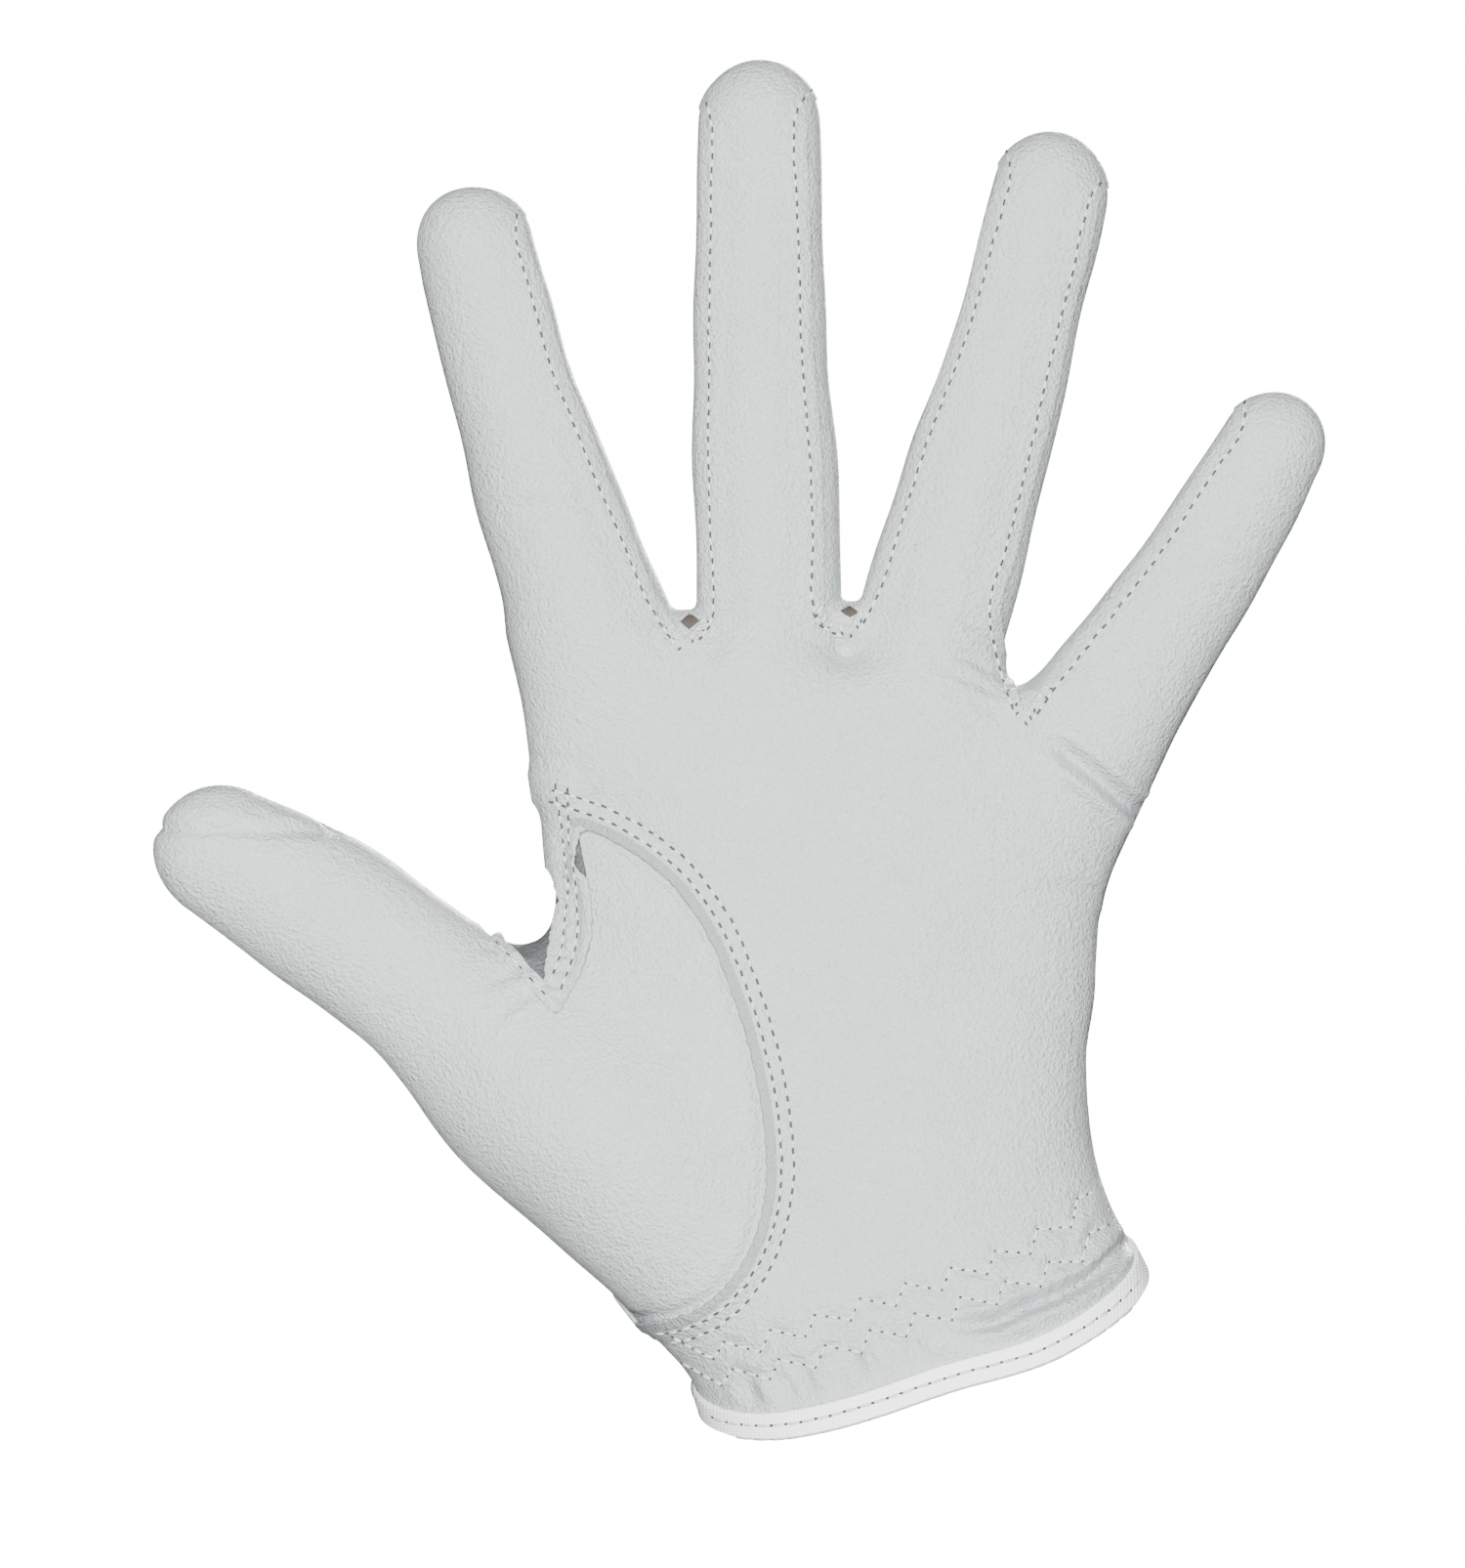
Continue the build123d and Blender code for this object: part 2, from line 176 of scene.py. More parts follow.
class Digit:
    """A finger or the thumb: s runs along it from its hinge, u across it and y through it."""

    def __init__(self, name, body):
        joint = joints[f"{name}_flex"]
        self.name, self.body = name, body
        self.hinge = np.array(joint["pos_m"]) / MM
        self.across = np.array(joint["axis"], float)
        self.along = np.cross((0, -1, 0), self.across)
        self.nodes = [f"{name}_flex_sleeve", *frame["record"]["behaviour"]["bodies"][body]]
        tree = tree_of(self.nodes)
        sleeve = self.span(self.nodes[:1])
        self.start, self.flex_end, self.tip = sleeve[0], sleeve[1], self.span(self.nodes)[1]
        _, end_half, _ = self.measure(tree, self.tip - 14.0)
        self.dome = end_half * 1.02
        self.stations = np.linspace(self.start + 0.5, self.tip - self.dome, 7)
        rows = np.array([self.measure(tree, s) for s in self.stations])
        self.offset, self.half, self.deep = rows.T
        self.shift = np.zeros(len(rows))

    def span(self, names):
        points = np.array([v.co for name in names for v in nodes[name].data.vertices]) / MM
        return ((points - self.hinge) @ self.along).min(), ((points - self.hinge) @ self.along).max()

    def measure(self, tree, s):
        """Centre offset, half-width and half-depth of the tube at s."""
        middle = self.hinge + self.along * s
        left, right = (tree.ray_cast(Vector(middle + side * RAY * self.across), Vector(-side * self.across))
                       for side in (-1, 1))
        left, right = (np.dot(np.array(hit[0]) - middle, self.across) for hit in (left, right))
        centre = middle + self.across * (left + right) / 2
        front = tree.ray_cast(Vector(centre + np.array((0, -RAY, 0))), Vector((0, 1, 0)))[0].y
        return (left + right) / 2, (right - left) / 2, -front

    def local(self, points):
        away = points - self.hinge
        return away @ self.along, away @ self.across

    def place(self, s, u):
        """The (x, z) place at s along and u across."""
        point = self.hinge + self.along * s + self.across * u
        return float(point[0]), float(point[2])

    def distance(self, points):
        """Roughly how far points are outside the tube and its domed tip."""
        s, u = self.local(points)
        a, b = (curve_value(s, self.stations, row) for row in (self.half, self.deep))
        u = u - curve_value(s, self.stations, self.offset)
        y = points[:, 1] - curve_value(s, self.stations, self.shift)
        t = np.maximum(s - self.stations[-1], 0) / self.dome
        r = np.sqrt((u / a) ** 2 + (y / b) ** 2 + t ** 2) + 1e-6
        slope = np.sqrt((u / a ** 2) ** 2 + (y / b ** 2) ** 2 + (t / self.dome) ** 2) / r + 1e-6
        return np.maximum((r - 1) / slope, self.stations[0] - s)


FINGERS = ("index", "middle", "ring", "little")
digits = {name: Digit(name, f"{name}_finger") for name in FINGERS}
digits["thumb"] = Digit("thumb", "thumb")
for digit in digits.values():
    print(digit.name, "from", round(digit.start), "to", round(digit.tip), "mm")

# %% [markdown]
# ## One smooth form for the whole hand
# Sewn leather over a hand has no corners where a finger meets the palm, so the form is a distance field. The
# fingers, the ball of the thumb and the palm are each a rounded tube, and a smooth minimum melts them
# together with a chosen radius. A grid of that field becomes an even mesh of quads. The mesh is split once and
# pushed back onto the field, so it is fine and exact without a huge grid.

# %% Palm, ball of the thumb and the joined field
# Sections of the palm from below the cuff up: centre x, centre z, rise in degrees, half-width, half-depth
PALM = np.array((
    (4.5, -13.8, 18.0, 37.5, 25.0),
    (0.0, 0.0, 18.0, 36.5, 23.6),
    (-4.1, 11.6, 20.5, 34.9, 20.8),
    (-8.0, 24.0, 18.5, 35.6, 19.3),
    (-12.4, 37.0, 14.0, 38.6, 18.3),
    (-15.2, 50.0, 10.0, 42.3, 17.4),
    (-15.9, 70.5, 4.0, 43.4, 15.8),
    (-14.6, 88.0, -3.0, 46.3, 13.8),
    (-14.0, 108.0, -7.0, 50.0, 10.6)))
PALM_POWER = 2.25        # over 2 makes the sections a little squarer than ellipses
# The thumb's tube goes on down into the heel: s, offset, half-width, half-depth, shift towards the back
HEEL = np.array((
    (-78.0, -15.0, 9.0, 10.0, -3.0),
    (-64.0, -11.0, 15.2, 15.0, -3.0),
    (-54.0, -7.6, 17.6, 16.6, -3.0),
    (-34.0, -3.6, 17.6, 16.0, -2.6),
    (-24.0, -2.5, 16.6, 14.6, -1.4)))
thumb = digits["thumb"]
for i, row in enumerate(("stations", "offset", "half", "deep", "shift")):
    setattr(thumb, row, np.concatenate((HEEL[:, i], getattr(thumb, row))))
STUB = 26.0              # how far a finger's tube runs down into the palm
STUB_SINK = 0.7          # its thickness there, so that it dives under the palm's surface
for name in FINGERS:
    digit = digits[name]
    digit.stations = np.concatenate(([digit.stations[0] - STUB], digit.stations))
    for row in ("offset", "half", "deep", "shift"):
        values = getattr(digit, row)
        setattr(digit, row, np.concatenate((values[:1] * (STUB_SINK if row == "deep" else 1), values)))

palm_steps = np.arange(len(PALM))
PALM_LAST = len(PALM) - 1
PALM_FLESH = 5.0         # radius of the palm's rounded top edge


def smooth_min(a, b, radius):
    h = np.clip(0.5 + 0.5 * (b - a) / radius, 0, 1)
    return b + (a - b) * h - radius * h * (1 - h)


def palm_place(points):
    """Which section a point lies on, as a number, its place across it, and its height past the last one."""
    t = np.interp(points[:, 2], PALM[:, 1], palm_steps)
    for _ in range(6):
        x, z, rise = (curve_value(t, palm_steps, PALM[:, i]) for i in range(3))
        rise = np.radians(rise)
        height = -(points[:, 0] - x) * np.sin(rise) + (points[:, 2] - z) * np.cos(rise)
        pace = np.interp(t, palm_steps, np.append(np.hypot(*np.diff(PALM[:, :2], axis=0).T), 20.0))
        t = np.clip(t + height / pace, 0, PALM_LAST)
    across = (points[:, 0] - x) * np.cos(rise) + (points[:, 2] - z) * np.sin(rise)
    x, z, rise = PALM[-1, :3]
    rise = math.radians(rise)
    return t, across, (points[:, 2] - z) * math.cos(rise) - (points[:, 0] - x) * math.sin(rise)


def palm_distance(points):
    t, across, past = palm_place(points)
    a, b = (curve_value(t, palm_steps, PALM[:, i]) for i in (3, 4))
    w, y = np.abs(across) / a, np.abs(points[:, 1]) / b
    r = (w ** PALM_POWER + y ** PALM_POWER) ** (1 / PALM_POWER) + 1e-6
    slope = np.hypot((w / r) ** (PALM_POWER - 1) / a, (y / r) ** (PALM_POWER - 1) / b) + 1e-6
    side = (r - 1) / slope
    return -smooth_min(-side, -past, PALM_FLESH)


crotches = {}
for name in nodes:
    if name.startswith("web_gusset_"):
        low_corner, high_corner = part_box(name)
        middle_x = (low_corner.x + high_corner.x) / 2 / MM
        crotches[name[len("web_gusset_"):]] = (middle_x, high_corner.z / MM - 1.0)
print("crotches", {name: (round(x, 1), round(z, 1)) for name, (x, z) in crotches.items()})

# The two webs beside the middle finger: top, middle of the opening (x, z) and the opening's half-size
WEB_TOPS = {"index_middle": 118.1, "middle_ring": 119.2}
OPENINGS = {"index_middle": ((-37.8, 116.4), (1.9, 1.7)), "middle_ring": ((-12.4, 118.0), (1.9, 1.3))}
BRIDGE = (6.0, 6.0, 3.6)  # half-size of the leather that fills a web
BRIDGE_RADIUS = 1.5      # between that leather and the fingers
WEB_RADIUS = 3.0         # between neighbouring fingers
KNUCKLE_RADIUS = 7.0     # between the fingers and the palm
THUMB_RADIUS = 13.0      # between the thumb and the palm


def hand_distance(points):
    palm = smooth_min(palm_distance(points), thumb.distance(points), THUMB_RADIUS)
    fingers = digits["index"].distance(points)
    for name in FINGERS[1:]:
        fingers = smooth_min(fingers, digits[name].distance(points), WEB_RADIUS)
    for name, top in WEB_TOPS.items():
        away = (points - (crotches[name][0], 0.0, top - BRIDGE[2])) / BRIDGE
        fingers = smooth_min(fingers, (np.linalg.norm(away, axis=1) - 1) * BRIDGE[2], BRIDGE_RADIUS)
    return smooth_min(palm, fingers, KNUCKLE_RADIUS)


# %% Grid, mesh and push-back
GRID = 1.5
MARGIN = 8.0             # the grid reaches this far past the frame
low = np.array(cad_box[0]) / MM - MARGIN
high = np.array(cad_box[1]) / MM + MARGIN
axes = [np.arange(low[i], high[i], GRID) for i in range(3)]
cloud = np.stack(np.meshgrid(*axes, indexing="ij"), -1)
field = hand_distance(cloud.reshape(-1, 3)).reshape(cloud.shape[:3])
band = 4 * GRID          # distances are kept this far from the surface
volume = openvdb.FloatGrid(band)
volume.copyFromArray(np.clip(field, -band, band).astype(np.float32))
points, quads = volume.convertToQuads(0.0)
points = points * GRID + low
print("grid", field.shape, "gives", len(points), "points,", len(quads), "quads")


def subdivide(points, quads):
    mesh = bpy.data.meshes.new("form")
    mesh.from_pydata(points.tolist(), [], quads.tolist())
    form = add_object("form", mesh)
    form.modifiers.new("split", "SUBSURF").levels = 1
    result = form.evaluated_get(bpy.context.evaluated_depsgraph_get()).to_mesh()
    found = np.empty(len(result.vertices) * 3)
    result.vertices.foreach_get("co", found)
    corners = np.empty(len(result.polygons) * 4, int)
    result.polygons.foreach_get("vertices", corners)
    bpy.data.objects.remove(form)
    return found.reshape(-1, 3), corners.reshape(-1, 4)


def gradient(function, points, step=0.4):
    slope = np.empty_like(points)
    for i in range(3):
        move = np.zeros(3)
        move[i] = step
        slope[:, i] = (function(points + move) - function(points - move)) / (2 * step)
    return slope


def face_normals(points, triangles):
    a, b, c = (points[triangles[:, i]] for i in range(3))
    return np.cross(b - a, c - a)


points, quads = subdivide(points, quads)
for _ in range(2):
    slope = gradient(hand_distance, points)
    steepness = np.maximum((slope ** 2).sum(1), 0.1)
    points = points - slope * (hand_distance(points) / steepness)[:, None].clip(-1, 1)
normals = slope / np.maximum(np.linalg.norm(slope, axis=1), 0.1)[:, None]
triangles = np.concatenate((quads[:, (0, 1, 2)], quads[:, (0, 2, 3)]))
if (face_normals(points, triangles) * normals[triangles[:, 0]]).sum() < 0:
    triangles = triangles[:, ::-1]
print("form:", len(points), "points", points.min(0).round(1), points.max(0).round(1))

# %% [markdown]
# ## Seams as distances
# A pattern cutter draws panels flat. Here each panel's outline is drawn in the plane of the palm, and every
# point of the form gets its distance to that outline: positive inside the panel. One field can then do three
# jobs. Its zero line is where the leather is cut, the strip beside it is where the leather lifts over its
# neighbour, and a line a little further in is where the needle went.

# %% Distance to an outline
def smooth_line(corners, pieces=8):
    """A smooth line through given corners."""
    corners = np.asarray(corners, float)
    knots = np.arange(len(corners))
    at = np.linspace(0, len(corners) - 1, (len(corners) - 1) * pieces + 1)
    return np.stack([curve_value(at, knots, corners[:, i]) for i in range(corners.shape[1])], -1)


def line_distance(places, line):
    """Distance from (x, z) places to an open line, and how far along the line the nearest point is."""
    best = np.full(len(places), 1e9)
    where = np.zeros(len(places))
    gone = 0.0
    for start, end in zip(line[:-1], line[1:]):
        run = end - start
        length = np.hypot(*run)
        share = np.clip(((places - start) @ run) / max(length ** 2, 1e-9), 0, 1)
        away = np.hypot(*(places - start - share[:, None] * run).T)
        closer = away < best
        best[closer] = away[closer]
        where[closer] = gone + share[closer] * length
        gone += length
    return best, where


def outline_field(places, outline):
    """Signed distance to a closed outline, positive inside."""
    outline = np.asarray(outline, float)
    closed = np.vstack((outline, outline[:1]))
    away, _ = line_distance(places, closed)
    inside = np.zeros(len(places), bool)
    for (x0, z0), (x1, z1) in zip(closed[:-1], closed[1:]):
        if z0 == z1:
            continue
        crosses = (z0 > places[:, 1]) != (z1 > places[:, 1])
        inside ^= crosses & (places[:, 0] < (x1 - x0) * (places[:, 1] - z0) / (z1 - z0) + x0)
    return np.where(inside, away, -away)


# %% The outlines
flat = points[:, (0, 2)]
y = points[:, 1]
FAR = 300.0
# How far out each side seam lies, as a share of the digit's half-width: -1 is the thumb's side
SEAM_SHARE = {("index", 1): 0.84, ("middle", -1): 0.88, ("middle", 1): 0.74, ("ring", -1): 0.90,
              ("ring", 1): 0.80, ("little", -1): 0.84}
SEAM_END = 0.62          # the side strips end at this share of the tip's dome
WEB_DROP = {"index_middle": 5.4, "middle_ring": 4.4, "ring_little": 5.8}  # from a web's top to its point
FOLD_SEAM_Y = 4.5        # palm and back leather meet here on a folded side
THUMB_SEAM_Y = 3.0       # the thumb's front and back leather meet here


def side_seam(name, side):
    """Places down a finger's side seam, from where it leaves the outline near the tip to the root."""
    digit = digits[name]
    last = digit.stations[-1]
    seam = [digit.place(last + SEAM_END * digit.dome, digit.offset[-1] + side * 1.15 * digit.half[-1])]
    for s in np.linspace(last, digit.start - 2.0, 7):
        offset, half = (curve_value(s, digit.stations, row) for row in (digit.offset, digit.half))
        seam.append(digit.place(s, offset + side * SEAM_SHARE[name, side] * half))
    return seam


web_seams, web_outlines = {}, {}
for left, right in zip(FINGERS[:-1], FINGERS[1:]):
    web = f"{left}_{right}"
    x, z = crotches[web]
    point = [(x, WEB_TOPS.get(web, z) - WEB_DROP[web])]
    web_seams[left, 1] = smooth_line(side_seam(left, 1) + point)
    web_seams[right, -1] = smooth_line(side_seam(right, -1) + point)
    web_outlines[web] = np.vstack((web_seams[left, 1], web_seams[right, -1][::-1]))
web_field = np.max([outline_field(flat, outline) for outline in web_outlines.values()], axis=0)

# The crescent runs from beside the index finger round the ball of the thumb to the wrist's edge.
CRESCENT = smooth_line(((-54.6, 83.6), (-50.4, 82.0), (-45.1, 78.7), (-39.9, 74.2), (-36.0, 69.0),
                        (-33.3, 64.0), (-30.6, 57.0), (-28.2, 49.4), (-26.4, 41.0), (-25.5, 33.0),
                        (-25.6, 26.5), (-27.0, 20.0), (-29.8, 14.2), (-33.6, 9.8), (-38.0, 7.0),
                        (-44.0, 5.4), (-50.0, 4.6)))
THUMB_BACK = smooth_line(((-55.0, 84.0), (-54.5, 66.0), (-52.0, 52.0), (-50.0, 36.0), (-49.0, 22.0),
                          (-50.0, 4.6)))
GUSSET = np.array(((-58.6, 54.6), (-55.6, 60.0), (-54.2, 67.0), (-54.0, 76.0), (-55.6, 84.0), (-58.2, 90.0),
                   (-69.0, 92.0), (-72.6, 69.8), (-71.3, 68.2)))


def to_far_left(line):
    return np.vstack((line, ((-FAR, line[-1][1]), (-FAR, line[0][1]))))


ragged = 0.1 * np.sin(flat @ (1.9, 2.3)) + 0.08 * np.sin(flat @ (-3.1, 4.2))
ragged = ragged + 0.05 * np.sin(flat @ (6.5, -5.1))
thumb_front_field = outline_field(flat, to_far_left(CRESCENT)) + ragged
thumb_back_field = outline_field(flat, to_far_left(THUMB_BACK))
side_of_hand = smooth_step((y + 2.0) / 4.0)
thumb_field = thumb_front_field * (1 - side_of_hand) + thumb_back_field * side_of_hand
gusset_field = outline_field(flat, GUSSET)
print("outlines:", len(web_outlines), "webs, the crescent", len(CRESCENT), "places long")

# %% Which digit a point is on, and how far up the wrist it lies
tube_distance = {name: digit.distance(points) for name, digit in digits.items()}
digit_field = {}
for name, digit in digits.items():
    others = np.min([tube_distance[other] for other in digits if other != name], axis=0)
    s, _ = digit.local(points)
    digit_field[name] = np.minimum(s - digit.start, (others - tube_distance[name]) * 2)
hand_field = -np.max(list(digit_field.values()), axis=0)

CUFF_RISE, CUFF_LEAN = math.radians(18.0), math.radians(20.0)
cuff_along = np.array((math.cos(CUFF_RISE), 0, math.sin(CUFF_RISE)))
cuff_up = np.array((-math.sin(CUFF_RISE), 0, math.cos(CUFF_RISE)))
cuff_normal = cuff_up * math.cos(CUFF_LEAN) - np.array((0, 1, 0)) * math.sin(CUFF_LEAN)


def cuff_uh(points):
    """Places on the wrist: u along the cuff towards the little finger, h up the hand."""
    return points @ cuff_along, points @ cuff_up


HEM_EDGE = 3.0           # the leather's edge stands this far above the wrist opening; the tape hangs below it


def hem_height(points):
    """Distance above the hem's edge, which waves a little on the palm side where the elastic gathers it."""
    across, _ = cuff_uh(points)
    wave = 0.15 * np.sin(across / 7.0 + 1.2) + 0.12 * np.sin(across / 3.7) + 0.9 * bump(across + 3, 12)
    return points @ cuff_normal - HEM_EDGE - wave * smooth_step(1 - (points[:, 1] + 8) / 8)


u, h = cuff_uh(points)
hem_field = hem_height(points)

# %% [markdown]
# ## Relief: folds, gathers and the slight unevenness of worn leather
# Leather over a hand is never quite smooth. Fixed folds are lines with a valley and a soft ridge beside it.
# Where elastic is sewn in, the leather is longer than the elastic and stands up in small gathers. Long, low
# waves of fixed random direction give the rest its slightly hand-made unevenness.

# %% Folds
# Each fold: places (x, z), depth and width
PALM_FOLDS = (
    (((-67, 132.5), (-59, 134.5), (-50, 136.0)), 0.45, 1.5),
    (((-66, 138.0), (-60, 138.6), (-54, 138.4)), 0.2, 1.2),
    (((17, 98.5), (22, 95.0), (27, 91.0), (32, 87.0), (37, 84.5)), 2.0, 1.4),
    (((20, 90.0), (26, 86.0), (31, 82.0)), 0.5, 1.3),
    (((1.5, 112.0), (6, 110.4), (10.5, 107.3)), 0.45, 0.9),
    (((2.0, 108.4), (7, 106.4), (11.5, 103.6)), 0.4, 0.9),
    (((4.0, 115.2), (8, 113.6), (12, 110.6)), 0.35, 0.8),
    (((5.0, 104.6), (9, 102.6), (13, 99.6)), 0.25, 0.9),
    (((18, 74.6), (23, 74.0), (29, 72.4)), 0.55, 1.1),
    (((34, 20.5), (29.9, 16.4), (24.7, 12.2), (15.3, 8.4), (9.5, 5.9), (0, 5.2)), 3.3, 1.1),
    (((33, 12.5), (26, 8.4), (17, 5.2), (8, 2.8)), -1.2, 2.6),
    (((35, 13.5), (30, 10.5), (23, 7.4)), 0.6, 1.2),
    (((-4.0, 4.0), (3.7, 2.4), (12.5, 3.4)), 0.6, 1.8),
    (((-60.5, 61.5), (-66, 60.5), (-72, 57.5)), 0.45, 0.9),
    (((-60.0, 58.5), (-65, 56.0), (-70, 51.5)), 0.4, 0.9),
    (((-62.0, 64.5), (-67, 65.0), (-73, 63.5)), 0.4, 0.8),
    (((-63.0, 68.0), (-68, 69.5), (-74, 69.5)), 0.35, 0.8),
    (((44, 127.0), (47, 124.5), (50, 123.8)), 0.3, 1.0),
    (((46, 131.5), (50, 129.0), (53, 128.5)), 0.25, 0.9),
    (((-36, 152.0), (-26, 150.5), (-16, 152.0)), 0.18, 1.6),
    (((-12, 46.0), (6, 60.0), (14, 78.0)), 0.25, 5.0),
)
BACK_FOLDS = (
    (((-62, 128.0), (-56, 129.5), (-48, 131.0)), 0.5, 1.6),
    (((-34, 131.0), (-26, 132.0), (-17, 131.0)), 0.5, 1.6),
    (((0, 134.0), (7, 133.5), (16, 130.0)), 0.5, 1.6),
    (((26, 116.0), (34, 113.0), (42, 107.0)), 0.5, 1.6),
    (((-64, 152.0), (-60, 153.0), (-54, 154.0)), 0.35, 1.3),
    (((-33, 160.0), (-26, 160.6), (-19, 160.0)), 0.35, 1.3),
    (((6, 158.0), (13, 157.0), (20, 154.0)), 0.35, 1.3),
    (((30, 60.0), (18, 62.0), (6, 60.0)), 0.3, 4.0),
    (((-70, 46.0), (-62, 52.0), (-58, 60.0)), 0.6, 1.6),
)


def fold_relief(places, folds):
    relief = np.zeros(len(places))
    for corners, depth, width in folds:
        line = smooth_line(corners, 5)
        away, along = line_distance(places, line)
        length = np.hypot(*np.diff(line, axis=0).T).sum()
        fade = smooth_step(along / (0.3 * length)) * smooth_step((length - along) / (0.3 * length))
        near = np.maximum(fade, 0.12 * bump(away, 2 * width))
        relief += depth * near * (0.4 * bump(away - 1.9 * width, 0.9 * width) - bump(away, width))
    return relief


palm_side = smooth_step((2.0 - y) / 4.0)
relief = fold_relief(flat, PALM_FOLDS) * palm_side + fold_relief(flat, BACK_FOLDS) * (1 - palm_side)

# %% Gathers over the wrist elastic
# The two rows of zigzag stitching, as places (u, h) on the wrist
UPPER_ROW = smooth_line(((-37, 14.0), (-31, 11.2), (-24, 10.6), (-12, 11.0), (0, 11.2), (12, 11.4),
                         (20, 12.2), (27, 13.8), (33, 16.6), (37, 19.5)))
LOWER_ROW = smooth_line(((-37, 9.5), (-31, 6.8), (-24, 6.0), (-12, 5.8), (0, 6.3), (12, 6.5), (20, 7.0),
                         (27, 8.2), (33, 10.8), (37, 14.0)))
ZIGZAG = 7.5             # length of one zigzag
ZIGZAG_HEIGHT = 2.8
ZIGZAG_FALL = 0.68       # share of it that falls gently before the steep rise


def zigzag(along):
    share = (along / ZIGZAG) % 1.0
    return ZIGZAG_HEIGHT * np.where(share < ZIGZAG_FALL, 0.5 - share / ZIGZAG_FALL,
                                    (share - ZIGZAG_FALL) / (1 - ZIGZAG_FALL) - 0.5)


above_upper = h - np.interp(u, *UPPER_ROW.T)
above_lower = h - np.interp(u, *LOWER_ROW.T)
gather_wave = 0.6 * np.cos(2 * np.pi * (u / ZIGZAG + 0.12 * np.sin(u / 5.0) + 0.3)) + 0.35 * np.cos(
    2 * np.pi * (u / 4.3 + 0.2 * np.sin(u / 8.0 + 1.0) + 0.05 * h))
under_rows = smooth_step(-above_lower / 1.5) * smooth_step((above_lower + 7.5) / 5.0)
under_rows = under_rows * smooth_step((8.0 - u) / 18.0)
over_rows = smooth_step((4.0 - above_upper) / 4.0) * smooth_step((above_lower + 1.5) / 3.0)
gathers = gather_wave * (1.0 * under_rows + 0.2 * over_rows)
gathers += 0.5 * bump(above_upper + 2.6, 1.4)
gathers -= 0.6 * bump(above_upper - zigzag(u), 1.0) + 0.6 * bump(above_lower - zigzag(u), 1.0)
near_wrist = smooth_step((34.0 - np.abs(u)) / 6.0)
relief += gathers * palm_side * near_wrist

# %% Long low waves
WAVES = 14
for _ in range(WAVES):
    direction = rng.normal(size=3)
    length = rng.uniform(13.0, 34.0)
    direction *= 2 * np.pi / length / np.linalg.norm(direction)
    relief += 0.007 * length * np.sin(points @ direction + rng.uniform(0, 2 * np.pi)) * 0.45
relief *= 0.1 + 0.9 * smooth_step((hem_field - 1.5) / 4.0)
print("relief from", relief.min().round(2), "to", relief.max().round(2), "mm")

# %% The folded crotch strip
# The palm leather goes on down into the crotch as a puckered strip with its seam allowance folded out.
STRIP_LEFT = ((-66.0, 92.0), (-66.0, 84.0), (-62.5, 79.8), (-59.2, 76.5), (-57.9, 72.2), (-59.2, 67.6),
              (-60.3, 61.5), (-60.4, 57.5))
STRIP_RIGHT = ((-58.3, 54.8), (-54.6, 60.8), (-53.1, 65.9), (-52.9, 70.5), (-53.5, 75.2), (-55.7, 78.4),
               (-54.7, 82.6), (-52.0, 85.0), (-54.0, 92.0))
CROTCH_ROWS = (((-59.0, 89.9), (-57.8, 81.4), (-56.9, 73.8), (-57.4, 69.9), (-58.0, 64.1), (-59.9, 58.7)),
               ((-57.0, 89.1), (-56.9, 82.2), (-56.4, 78.4), (-55.6, 73.0), (-55.5, 67.6), (-56.2, 63.0),
                (-58.6, 56.4)))
rows_away = [line_distance(flat, smooth_line(row))[0] for row in CROTCH_ROWS]
strip_outline = outline_field(flat, STRIP_LEFT + STRIP_RIGHT)
between_rows = bump(rows_away[0] - rows_away[1], 2.0) * smooth_step(2.2 - np.maximum(*rows_away))
puckers = 0.45 * np.cos(2 * np.pi * flat[:, 1] / 2.3 + 1.5 * np.sin(flat[:, 1] / 4.0)) * between_rows
strip_lift = 0.85 + 0.55 * smooth_step(1 - strip_outline / 2.5) * smooth_step((flat[:, 0] + 57.5) / 3.0)
strip_lift += puckers - 0.45 * bump(rows_away[0], 0.7) - 0.45 * bump(rows_away[1], 0.7)
strip_lift += 0.7 * bump(np.hypot(flat[:, 0] + 55.2, flat[:, 1] - 76.5), 1.7)
strip_share = smooth_step((strip_outline + 1.5) / 1.5) * smooth_step((86.0 - flat[:, 1]) / 6.0)

# %% [markdown]
# ## Layers of leather
# Three layers share the form. The under layer holds the pieces that are inset: the ball of the thumb, the
# side strips and the crotch gusset. The palm leather and the back leather lap over it. Near their edges they
# are lifted by one leather thickness, with a shallow groove where each row of stitches pulls them down.

# %% Lifted layers and their normals
LEATHER = 0.8
LAP = 3.4                # width of the lifted edge
SEAM_ROW = 1.4           # a single row of stitches lies this far in from the edge
CRESCENT_ROWS = (2.1, 4.0)
GROOVE = 0.2


def lapped(edge, rows):
    """How much a layer stands up at a distance inside its edge."""
    lift = LEATHER * smooth_step(1 - (edge - 1.0) / LAP) + 0.25 * (1 - np.exp(-np.maximum(edge, 0) / 7.0))
    for row in rows:
        lift = lift - GROOVE * bump(edge - row, 0.7)
    return lift


def vertex_normals(points, triangles):
    face = face_normals(points, triangles)
    corners = triangles.ravel()
    total = np.stack([np.bincount(corners, np.repeat(face[:, i], 3), len(points)) for i in range(3)], -1)
    return total / np.maximum(np.linalg.norm(total, axis=1), 1e-9)[:, None]


fold_edge = FOLD_SEAM_Y - y
inner_edge = np.minimum(-web_field, fold_edge)
crescent_edge = -np.maximum(thumb_front_field, gusset_field)
front_lift = np.maximum(lapped(inner_edge, (SEAM_ROW,)) * (inner_edge < crescent_edge),
                        lapped(crescent_edge, CRESCENT_ROWS) * (crescent_edge <= inner_edge))

